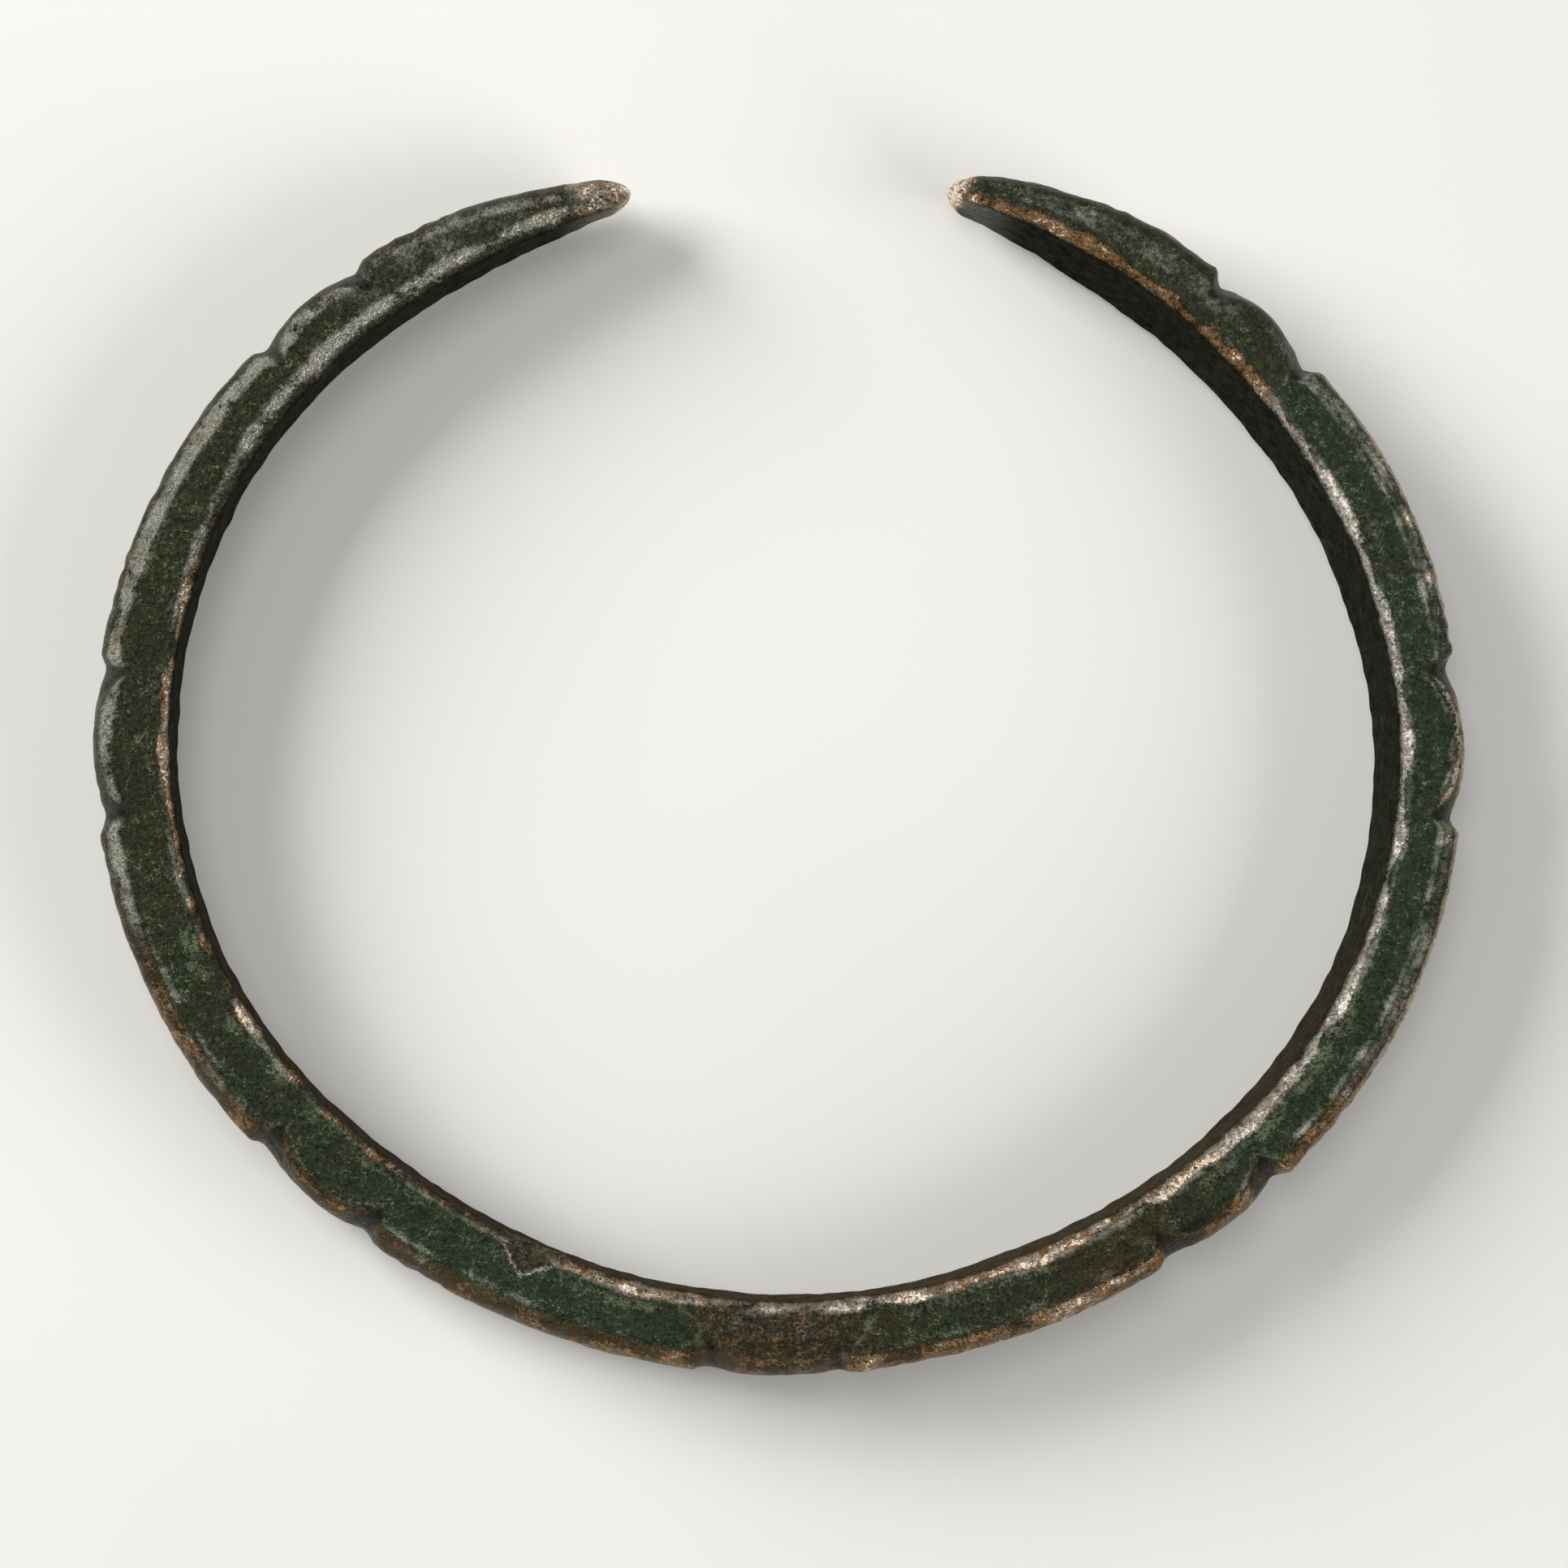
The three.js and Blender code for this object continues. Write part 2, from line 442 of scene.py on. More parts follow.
@dataclass(frozen=True)
class AlongBar:
    """An amount that changes round the ring.

    Attributes:
        knots: Pairs of a bearing in degrees, falling from the right end, and the amount there.
    """

    knots: tuple[tuple[float, float], ...]

    def at(self, bearing: np.ndarray) -> np.ndarray:
        """The amount at some bearings."""
        places = np.array(self.knots)
        return np.interp(-bearing, -places[:, 0], places[:, 1])


@dataclass(frozen=True)
class GrooveGroup:
    """A few shallow worn grooves across the bar's outer side.

    Attributes:
        start: The bearing of the first, in degrees.
        stop: The bearing of the last.
        depth: How deep they are, in millimetres.
    """

    start: float
    stop: float
    depth: float = 0.12


class Tone(Enum):
    """What a stretch of the surface has turned to, and the sheen and shade painted on it."""

    WORN = "worn"
    COPPER = "copper"
    CRUST = "crust"
    GREEN = "green"
    BROWN = "brown"
    GLOSS_AND_PAINTED_SHEEN = "sheen"
    DIRT_AND_PAINTED_SHADE = "hollow"
    EARTH_AND_PAINTED_SHADE = "earth_and_painted_shade"


@dataclass(frozen=True)
class Patch:
    """A patch of one tone, lying all round the bar between two bearings.

    Attributes:
        tone: What it has turned to; for some patches, the sheen and shade painted there.
        start: The bearing where it begins, in degrees.
        stop: The bearing where it ends.
        inner: Where it begins across the bar, from 0 at the inner face to 1 at the outer.
        outer: Where it ends across the bar.
        amount: How strong it is, from 0 to 1.
        soft: How wide its edge is, in degrees.
        hem: How wide its edge is across the bar.
    """

    tone: Tone
    start: float
    stop: float
    inner: float
    outer: float
    amount: float
    soft: float = 1.5
    hem: float = 0.08

    def cover(self, bearing: np.ndarray, across: np.ndarray) -> np.ndarray:
        """How much of the patch lies at each place.

        Args:
            bearing: Bearings in degrees.
            across: Shares across the bar.

        Returns:
            The amount at each place.
        """
        high, low = max(self.start, self.stop), min(self.start, self.stop)
        cover = smooth(low - self.soft, low + self.soft, bearing)
        cover = cover * smooth(high + self.soft, high - self.soft, bearing)
        cover = cover * smooth(self.inner - self.hem, self.inner + self.hem, across)
        return self.amount * cover * smooth(self.outer + self.hem, self.outer - self.hem, across)


@dataclass(frozen=True)
class ReliefSizes:
    """How far each kind of fine relief stands out or is cut in, in millimetres.

    Attributes:
        broad, lumps, flecks, grit: The casting's unevenness, from the widest to the finest.
        ridge_drop, bevel_drop: How far the near face is worn down along its inner and its outer edge.
        notch_fill: How far the notches are filled low on the outer side.
        notch_bite: How much deeper than that they are where they face up.
        scoop, crest: The lobes' hollows beside the notches, and their crests.
        ridge_nick, rim_nick: The nicks of the inner ridge and of the outer rim.
        wall_dent: The dents of the inner wall.
        crust, pit: The crust and the pits.
        proud_limit: The most that anything but the chip's filling stands out.
        chip_fill, chip_rough, chip_lip: The chip's filling, the roughness of that, and the chip's lip.
    """

    broad: float = 0.022
    lumps: float = 0.014
    flecks: float = 0.012
    grit: float = 0.014
    ridge_drop: float = 0.10
    bevel_drop: float = 0.12
    notch_fill: float = 0.07
    notch_bite: float = 0.15
    scoop: float = 0.16
    crest: float = 0.05
    ridge_nick: float = 0.10
    rim_nick: float = 0.04
    wall_dent: float = 0.03
    crust: float = 0.030
    pit: float = 0.05
    proud_limit: float = 0.15
    chip_fill: float = 0.20
    chip_rough: float = 0.05
    chip_lip: float = 0.06


@dataclass(frozen=True)
class Weathering:
    """What each stretch of the bar has turned to, mostly as shares from 0 to 1.

    Attributes:
        ridge_width: The inner ridge's width, in millimetres.
        ridge_wear, edge_wear: How bare the inner ridge and the outer rim are.
        bevel_wear, crest_wear: How bare the outer bevel and the lobes' crests are.
        ridge_copper, bevel_copper: How copper-coloured the bare metal of the ridge and the bevel is.
        ridge_painted_sheen, bevel_painted_sheen, hem_painted_sheen: The grey sheen painted on the ridge, the
        bevel and the near face's hem.
        green, crust: The green in the patina, and the pale crust.
        brown, rust: The brown tarnish of the near face, and that of the outer side and the inner wall.
        patches: The patches that lie over these.
    """

    ridge_width: AlongBar = AlongBar((
        (75, 0.8), (60, 1.0), (42, 1.0), (34, 0.85), (10, 0.8), (-5, 0.85), (-25, 0.9), (-45, 1.0),
        (-60, 0.95), (-80, 0.85), (-97, 0.85), (-130, 0.7), (-165, 0.65), (-172, 0.75), (-196, 0.75),
        (-203, 0.9), (-215, 1.15), (-245, 1.05), (-255, 0.8),
    ))
    ridge_wear: AlongBar = AlongBar((
        (75, 0.95), (70, 0.80), (64, 0.74), (40, 0.76), (36, 0.85), (25, 0.95), (-28, 1.0), (-60, 1.0),
        (-75, 0.85), (-97, 0.80), (-104, 0.65), (-112, 0.5), (-122, 0.38), (-132, 0.5), (-140, 0.55),
        (-160, 0.38), (-170, 0.4), (-174, 1.0), (-196, 1.0), (-200, 0.35), (-206, 0.22), (-246, 0.2),
        (-250, 0.5), (-255, 0.6),
    ))
    ridge_copper: AlongBar = AlongBar((
        (75, 0.8), (64, 1.0), (40, 1.0), (36, 0.3), (10, 0.1), (-5, 0.2), (-28, 0.35), (-45, 0.6),
        (-62, 0.7), (-84, 0.5), (-98, 0.55), (-115, 0.5), (-132, 0.7), (-160, 0.5), (-172, 0.65),
        (-197, 0.65), (-206, 0.3), (-244, 0.3), (-250, 0.6), (-255, 0.5),
    ))
    bevel_copper: AlongBar = AlongBar((
        (75, 0.7), (60, 0.6), (36, 0.35), (-26, 0.45), (-33, 0.75), (-165, 0.7), (-172, 0.5), (-255, 0.6),
    ))
    ridge_painted_sheen: AlongBar = AlongBar((
        (75, 0.2), (40, 0.3), (34, 0.6), (-30, 0.6), (-60, 0.5), (-100, 0.5), (-140, 0.55), (-165, 0.5),
        (-197, 0.4), (-204, 0.72), (-240, 0.76), (-255, 0.6),
    ))
    edge_wear: AlongBar = AlongBar((
        (75, 0.8), (68, 0.3), (57, 0.3), (54, 0.65), (50, 0.45), (44, 0.4), (36, 0.65), (28, 0.85),
        (0, 0.85), (-30, 0.85), (-60, 0.80), (-83, 0.75), (-98, 0.66), (-115, 0.55), (-130, 0.5),
        (-146, 0.5), (-160, 0.48), (-172, 0.35), (-185, 0.3), (-200, 0.2), (-246, 0.2), (-250, 0.4),
        (-255, 0.4),
    ))
    bevel_wear: AlongBar = AlongBar((
        (75, 0.6), (68, 0.1), (44, 0.1), (30, 0.45), (0, 0.48), (-26, 0.36), (-32, 0.72), (-60, 0.80),
        (-80, 0.7), (-86, 0.55), (-97, 0.55), (-112, 0.5), (-131, 0.48), (-135, 0.3), (-143, 0.3),
        (-147, 0.55), (-166, 0.5), (-172, 0.25), (-200, 0.15), (-245, 0.12), (-255, 0.4),
    ))
    crest_wear: AlongBar = AlongBar((
        (75, 0.3), (41, 0.35), (2, 0.85), (-44, 0.9), (-90, 0.4), (-138, 0.65), (-178, 0.35), (-221, 0.3),
        (-255, 0.2),
    ))
    bevel_painted_sheen: AlongBar = AlongBar((
        (75, 0.3), (68, 0.1), (45, 0.15), (36, 0.60), (0, 0.50), (-40, 0.3), (-97, 0.2), (-140, 0.2),
        (-160, 0.45), (-170, 0.9), (-200, 0.95), (-222, 0.9), (-227, 0.45), (-245, 0.35), (-255, 0.4),
    ))
    hem_painted_sheen: AlongBar = AlongBar((
        (75, 0.0), (42, 0.1), (36, 0.45), (10, 0.5), (-30, 0.5), (-45, 0.4), (-52, 0.2), (-60, 0.2),
        (-70, 0.35), (-84, 0.1), (-97, 0.1), (-105, 0.3), (-165, 0.3), (-172, 0.0), (-255, 0.0),
    ))
    green: AlongBar = AlongBar((
        (75, 0.4), (45, 0.45), (36, 0.7), (0, 0.7), (-30, 0.85), (-44, 0.6), (-50, 0.1), (-60, 0.15),
        (-64, 0.5), (-80, 0.5), (-83, 0.35), (-97, 0.35), (-99, 0.9), (-120, 0.9), (-132, 0.75),
        (-140, 0.6), (-146, 0.6), (-165, 0.45), (-185, 0.2), (-200, 0.35), (-215, 0.15), (-255, 0.1),
    ))
    crust: AlongBar = AlongBar((
        (75, 0.05), (45, 0.25), (30, 0.45), (-10, 0.5), (-28, 0.75), (-44, 0.8), (-49, 0.2), (-60, 0.3),
        (-64, 0.75), (-80, 0.7), (-84, 0.25), (-97, 0.25), (-99, 0.5), (-135, 0.55), (-165, 0.6),
        (-175, 0.35), (-190, 0.4), (-200, 0.45), (-215, 0.2), (-255, 0.1),
    ))
    brown: AlongBar = AlongBar((
        (75, 0.3), (40, 0.2), (30, 0.15), (0, 0.15), (-30, 0.1), (-46, 0.3), (-51, 0.5), (-60, 0.45),
        (-64, 0.2), (-80, 0.3), (-83, 0.5), (-97, 0.5), (-99, 0.15), (-120, 0.1), (-128, 0.2), (-134, 0.25),
        (-144, 0.25), (-148, 0.2), (-180, 0.2), (-255, 0.2),
    ))
    rust: AlongBar = AlongBar((
        (75, 0.3), (36, 0.2), (0, 0.3), (-30, 0.6), (-60, 0.8), (-100, 0.85), (-150, 0.8), (-168, 0.5),
        (-180, 0.3), (-195, 0.3), (-205, 0.42), (-245, 0.42), (-255, 0.5),
    ))
    patches: tuple[Patch, ...] = (
        Patch(Tone.WORN, 75, 71.2, 0.0, 1.0, 1.0, 0.8),
        Patch(Tone.COPPER, 75, 70.0, 0.0, 1.0, 0.65, 0.8),
        Patch(Tone.WORN, -251.3, -254.8, 0.0, 0.85, 0.84, 0.8),
        Patch(Tone.COPPER, -251.0, -255.5, 0.0, 1.0, 0.6, 0.8),
        # Painted highlights on both tips, which are also made glossier.
        Patch(Tone.GLOSS_AND_PAINTED_SHEEN, 75, 71.0, 0.0, 1.0, 0.8, 0.8),
        Patch(Tone.GLOSS_AND_PAINTED_SHEEN, -250.0, -256, 0.0, 1.0, 0.5, 1.2),
        # Painted shade of a dimple near the left tip, which the relief doesn't carve.
        Patch(Tone.DIRT_AND_PAINTED_SHADE, -252.8, -253.6, 0.35, 0.55, 0.4, 0.4),
        Patch(Tone.CRUST, 18.3, 17.3, 0.25, 0.42, 1.0, 0.4),
        Patch(Tone.CRUST, -181.5, -182.3, 0.30, 0.50, 1.0, 0.4),
        Patch(Tone.CRUST, -159.9, -160.8, 0.25, 0.45, 1.0, 0.4),
        # Painted sheen in patches on the near face of both arms.
        Patch(Tone.GLOSS_AND_PAINTED_SHEEN, 68, 44, 0.35, 0.75, 0.32, 3.0),
        Patch(Tone.GLOSS_AND_PAINTED_SHEEN, -222, -246, 0.3, 0.75, 0.26, 3.0),
        Patch(Tone.CRUST, -29, -37, 0.55, 0.95, 0.6),
        Patch(Tone.CRUST, -38.2, -39.4, 0.1, 0.9, 0.7, 0.5),
        Patch(Tone.CRUST, -83.2, -84.0, 0.25, 0.65, 1.0, 0.35),
        Patch(Tone.CRUST, -96.3, -97.0, 0.15, 0.70, 1.0, 0.35),
        Patch(Tone.CRUST, -132.4, -133.1, 0.70, 1.0, 1.0, 0.3),
        # Painted shade in the two notches of the lobe at the lower right.
        Patch(Tone.DIRT_AND_PAINTED_SHADE, -38.8, -41.0, 0.66, 1.0, 0.9, 0.4),
        Patch(Tone.DIRT_AND_PAINTED_SHADE, -47.8, -50.4, 0.66, 1.0, 0.95, 0.4),
        Patch(Tone.WORN, -84, -97, 0.1, 0.9, 0.52),
        Patch(Tone.DIRT_AND_PAINTED_SHADE, -83.5, -97.5, 0.0, 1.0, 0.36),
        Patch(Tone.WORN, -51, -61, 0.1, 0.9, 0.33),
    )

    def toned(self, tone: Tone, place: "Places", amount: np.ndarray) -> np.ndarray:
        """An amount with the patches of its tone laid over it.

        Args:
            tone: The tone.
            place: Where the points lie.
            amount: The amount without patches.

        Returns:
            The amount with them.
        """
        for patch in self.patches:
            if patch.tone is tone:
                amount = np.maximum(amount, patch.cover(place.bearing, place.across))
        return np.clip(amount, 0.0, 1.0)


class Places:
    """Where each point of the surface lies on the bar; lengths in millimetres, shares from 0 to 1.

    Attributes:
        points, ring: The plain form's points, and how far out and up they are in their sections.
        along, to_end: Distances along the bar, and from its nearer end.
        inwards, to_rim: Distances from the inner face, and from the outer side.
        bearing, across: Bearings in degrees, uneven as the tones' borders are, and shares across the bar.
        up, lit: How much the points face up, from -1 to 1, and the share by which they do at all.
        near, bevel, face: The shares of the near face, of the outer bevel and of both.
        shoulder, rim, outer: The shares of the bevel and the hem beside it, of the outer rim and side.
        under, wall: The shares of the underside and of the inner wall.
        wide, ridge: The inner ridge's width, and its share.
        chip, lip: The shares of the chip's inside and of its lip.
        broad, lumps, grit, flecks: The casting's unevenness of four sizes, about 0.
    """

    UNEVENNESS = (Lumps(5.0, 11), Lumps(1.7, 12), Lumps(0.62, 13), Lumps(0.9, 14))
    BOTTOM_LOBE = -90.0
    BOTTOM_SPREAD = 0.42

    def __init__(self, form: BarForm, ridge_width: AlongBar, at: np.ndarray, ring: Ring,
                 points: np.ndarray, bearing: np.ndarray) -> None:
        """Measures the places.

        Args:
            form: The bar.
            ridge_width: The inner ridge's width.
            at: The stations' distances along the bar.
            ring: The sections.
            points: The plain form's points.
            bearing: Their even bearings.
        """
        self.points, self.ring = points, ring
        self.broad, self.lumps, self.grit, self.flecks = (kind.at(points) for kind in self.UNEVENNESS)
        self.along = np.broadcast_to(at[:, None], ring.out.shape)
        self.to_end = np.minimum(at, form.length - at)[:, None]
        thick = ring.out.max(axis=1)[:, None]
        self.inwards = ring.out - ring.out.min(axis=1)[:, None]
        self.to_rim = thick - ring.out
        self.across = np.clip(ring.out / thick, 0.0, 1.0)
        self.bearing = self._slanted(bearing + 0.55 * self.lumps + 0.35 * self.flecks)

        out, up = self._facing(ring)
        above = smooth(-0.1, 0.3, up)
        self.up = up
        self.lit = smooth(0.0, 0.45, up)
        self.near = smooth(0.80, 0.98, up)
        self.bevel = smooth(0.10, 0.45, out) * smooth(0.05, 0.40, up)
        self.face = np.clip(self.near + 0.6 * self.bevel, 0, 1)
        self.shoulder = smooth(1.25, 0.80, self.to_rim) * above
        self.rim = smooth(0.62, 0.34, self.to_rim) * above
        self.outer = smooth(-0.2, 0.3, out)
        self.under = smooth(-0.30, -0.80, up)

        reach = form.chip_depth(at)[:, None]
        self.chip = smooth(0.0, 0.3, reach - ring.out) * smooth(0.2, 0.5, up)
        self.lip = hump(ring.out - reach, 0.08, 0.20) * smooth(0.3, 0.7, reach) * smooth(0.2, 0.5, up)
        self.wall = smooth(0.60, 0.95, -out) * (1 - self.chip)
        self.wide = ridge_width.at(self.bearing) * (1 + 0.18 * self.lumps + 0.12 * self.flecks)
        self.ridge = smooth(self.wide, 0.45 * self.wide, self.inwards) * smooth(0.10, 0.50, up)

    @staticmethod
    def _facing(ring: Ring) -> tuple[np.ndarray, np.ndarray]:
        """Which way each place of the sections faces.

        Args:
            ring: The sections.

        Returns:
            How much it faces out of the ring, and how much it faces up.
        """
        run_out = np.roll(ring.out, -1, axis=1) - np.roll(ring.out, 1, axis=1)
        run_up = np.roll(ring.up, -1, axis=1) - np.roll(ring.up, 1, axis=1)
        size = np.hypot(run_out, run_up) + 1e-9
        return run_up / size, -run_out / size

    def _slanted(self, bearing: np.ndarray) -> np.ndarray:
        """Bearings round the worn lobe at the bottom, whose tones spread out towards the ring's inside.

        Args:
            bearing: The bearing of each point.

        Returns:
            The bearings that the tones are read at.
        """
        off = bearing - self.BOTTOM_LOBE
        spread = off * self.BOTTOM_SPREAD * (1.0 - self.across)
        return bearing - spread * smooth(24.0, 13.0, np.abs(off))


@dataclass(frozen=True)
class Cuts:
    """What is cut into the bar and grown on it, as shares from 0 to 1 at each point.

    Attributes:
        bite: The notches.
        scoop, crest: The lobes' hollows beside the notches, and their raised crests.
        hem: The outer hem of the near face, which runs round the lobes.
        grooves: The depth of the worn grooves, in millimetres.
        ridge_nicks, rim_nicks: The nicks of the inner ridge and of the outer rim.
        wall_dents: The dents of the inner wall.
        crust, pits: The crust and the pits.
    """

    bite: np.ndarray
    scoop: np.ndarray
    crest: np.ndarray
    hem: np.ndarray
    grooves: np.ndarray
    ridge_nicks: np.ndarray
    rim_nicks: np.ndarray
    wall_dents: np.ndarray
    crust: np.ndarray
    pits: np.ndarray


@dataclass
class BraceletSurface:
    """The bar's fine surface: its mesh, what is worn, cut and grown on it, and its tones.

    Attributes:
        form, steps: The bar, and how finely its sections are divided.
        sizes, weather: The sizes of its relief, and what it has turned to.
        stations, nose_stations: How many sections it has between its noses and on each of them.
        middle: The point that bearings are taken from, in millimetres as all that follow.
        bearing_steps: How many steps along the bar are looked through for a bearing.
        pit_lumps, chip_lumps: The unevenness that makes the pits and the chip's rough inside.
        grooves: The worn grooves.
        groove_spacing, groove_width: How far apart they are, and how wide.
        groove_slant: How far they run along the bar for each millimetre up.
        comb_margin: How far past the bar's ends the rows of nicks go.
        comb_grain: How finely they are reckoned.
        full_notch, bite_width: The depth of a notch that is fully cut, and how wide it bites.
        crest_place, crest_width: How far a crest's middle is from the outer side, and how wide the crest is.
        crest_sweep: How much farther its ends are from there.
        hem_place, hem_width: How far the near face's hem is from the outer side, and how wide it is.
        hem_off: How far it is from a crest.
        end_calm: How far from the bar's ends the relief is whole.
    """

    form: BarForm
    steps: SectionSteps = SectionSteps()
    sizes: ReliefSizes = ReliefSizes()
    weather: Weathering = Weathering()
    stations: int = 850
    nose_stations: int = 12
    middle: tuple[float, float] = (-0.17, -0.03)
    bearing_steps: int = 720
    pit_lumps: Lumps = Lumps(0.7, 31)
    chip_lumps: Lumps = Lumps(0.5, 32)
    grooves: tuple[GrooveGroup, ...] = (
        GrooveGroup(12.5, 8.5, 0.06),
        GrooveGroup(-28.5, -37.0, 0.05),
        GrooveGroup(-51.0, -58.0, 0.04),
        GrooveGroup(-69.5, -83.0, 0.04),
        GrooveGroup(-122.0, -131.0, 0.05),
        GrooveGroup(-168.0, -175.0, 0.05),
        GrooveGroup(-190.0, -195.0, 0.05),
        GrooveGroup(-212.0, -218.0, 0.05),
        GrooveGroup(-230.0, -235.0, 0.05),
    )
    groove_spacing: float = 1.12
    groove_width: float = 0.26
    groove_slant: float = 0.15
    comb_margin: float = 6.0
    comb_grain: float = 0.04
    full_notch: float = 0.34
    bite_width: float = 0.24
    crest_place: float = 0.50
    crest_sweep: float = 0.9
    crest_width: float = 0.26
    hem_place: float = 1.28
    hem_off: float = 0.42
    hem_width: float = 0.25
    end_calm: float = 1.6

    def lie(self, lowest: np.ndarray, highest: np.ndarray) -> bpy.types.Object:
        """Builds the surface where the solid lies.

        Args:
            lowest: The lowest corner of the solid's box, in metres.
            highest: Its highest corner.

        Returns:
            The bracelet's object, with its tones kept as attributes of its points.
        """
        at = self._station_places()
        ring = self.form.section(at, self.steps)
        points = self.form.placed(at, ring)
        corner = points.reshape(-1, 3).min(axis=0), points.reshape(-1, 3).max(axis=0)
        shift = (np.array(lowest) + np.array(highest)) / 2 / MM - (corner[0] + corner[1]) / 2
        shift[2] = lowest[2] / MM - corner[0][2]
        points = points + shift
        tips = self._tips() + shift
        place = Places(self.form, self.weather.ridge_width, at, ring, points, self._bearing(points))
        cuts = self._cuts(place)
        points = points + self._normals(points) * self._heights(place, cuts)[..., None]
        points[..., 2] = np.maximum(points[..., 2], lowest[2] / MM)
        return self._mesh(points, tips, place, self._tones(place, cuts))

    def _station_places(self) -> np.ndarray:
        """The distances along the bar where it is divided, closer together on the two noses."""
        nose = self.form.nose
        bend = np.linspace(0.0, math.pi / 2, self.nose_stations + 1)[1:-1]
        close = nose * (1.0 - np.cos(bend))
        even = np.linspace(nose, self.form.length - nose, self.stations)
        return np.concatenate([close, even, (self.form.length - close)[::-1]])

    def _tips(self) -> np.ndarray:
        """The two tips of the bar, where its noses end."""
        ends = np.array([0.0, self.form.length])
        half = np.full((2, 1), self.form.end_thickness / 2)
        return self.form.placed(ends, Ring(half, np.zeros((2, 1))))[:, 0, :]

    def _bearing(self, points: np.ndarray) -> np.ndarray:
        """The bearing of each point round the ring's middle, falling from the right end to the left.

        Args:
            points: Rows that begin with x and y.

        Returns:
            Bearings in degrees, from about 75 down to -255.
        """
        turn = np.degrees(np.arctan2(points[..., 1] - self.middle[1], points[..., 0] - self.middle[0]))
        return np.where(turn > 90.0, turn - 360.0, turn)

    @staticmethod
    def _normals(points: np.ndarray) -> np.ndarray:
        """The directions square to the surface at its points.

        Args:
            points: The surface's points, by station and by place round the section.

        Returns:
            Directions of length 1, pointing out of the metal.
        """
        along = np.gradient(points, axis=0)
        around = np.roll(points, -1, axis=1) - np.roll(points, 1, axis=1)
        square = np.cross(around, along)
        return square / (np.linalg.norm(square, axis=-1, keepdims=True) + 1e-12)

    def _cuts(self, place: Places) -> Cuts:
        """What is cut into the bar and grown on it.

        Args:
            place: Where the points lie.

        Returns:
            The cuts.
        """
        bite, scoop, crest, hem = self._lobe_cuts(place)
        aslant = place.along + 1.6 * (place.ring.out - 0.3) + 0.25 * place.lumps
        long_nicks, short_nicks = self._comb(aslant, 2.1, 0.34, 21), self._comb(aslant, 0.9, 0.16, 24)
        wide, inwards = place.wide, place.inwards
        borders = smooth(wide + 0.75, wide + 0.30, inwards) * smooth(0.6 * wide, wide, inwards)
        crust = self.weather.crust.at(place.bearing) * (0.30 + 0.70 * np.maximum(borders, hem))
        crust = crust + 0.12 * place.flecks + 0.06 * place.lumps
        return Cuts(
            bite=bite,
            scoop=scoop,
            crest=crest,
            hem=hem,
            grooves=self._groove_depth(place),
            ridge_nicks=np.maximum(long_nicks, 0.6 * short_nicks),
            rim_nicks=self._comb(place.along, 1.5, 0.28, 22),
            wall_dents=self._comb(place.along + 0.5 * place.ring.up, 2.2, 0.5, 23),
            crust=self.weather.toned(Tone.CRUST, place, crust) * place.face,
            pits=smooth(1.25, 2.1, self.pit_lumps.at(place.points)) * (0.35 + 0.65 * place.face),
        )

    def _comb(self, along: np.ndarray, spacing: float, width: float, seed: int) -> np.ndarray:
        """A row of nicks of uneven depth at uneven distances.

        Args:
            along: Distances along the bar, moved on where the nicks slant.
            spacing: The mean distance between nicks, in millimetres.
            width: How wide one nick is.
            seed: Which of the many such rows this is.

        Returns:
            The depth of the nicks, from 0 to 1.
        """
        chance = np.random.default_rng(seed)
        place, stop = -self.comb_margin, self.form.length + self.comb_margin
        grid = np.arange(place, stop, self.comb_grain)
        depth = np.zeros_like(grid)
        while place < stop:
            place += spacing * chance.uniform(0.35, 1.65)
            wide = width * chance.uniform(0.6, 1.5)
            depth = np.maximum(depth, chance.uniform(0.2, 1.0) * hump(grid, place, wide))
        return np.interp(along, grid, depth)

    def _groove_depth(self, place: Places) -> np.ndarray:
        """The worn grooves across the outer side, which fade out over the bevel.

        Args:
            place: Where the points lie.

        Returns:
            Depths in millimetres.
        """
        depth = np.zeros_like(place.along)
        for group in self.grooves:
            start, stop = self._along_at(group.start), self._along_at(group.stop)
            count = max(2, round(abs(stop - start) / self.groove_spacing) + 1)
            for groove in np.linspace(start, stop, count):
                slant = groove + self.groove_slant * place.ring.up
                depth = np.maximum(depth, group.depth * hump(place.along, slant, self.groove_width))
        return depth * place.outer

    def _along_at(self, bearing: float) -> float:
        """The distance along the bar, in millimetres, at a bearing of its inner face."""
        at = np.linspace(0.0, self.form.length, self.bearing_steps + 1)
        line = self.form.inner_line(self.form.angle_of(at))
        return float(np.interp(-bearing, -self._bearing(line), at))

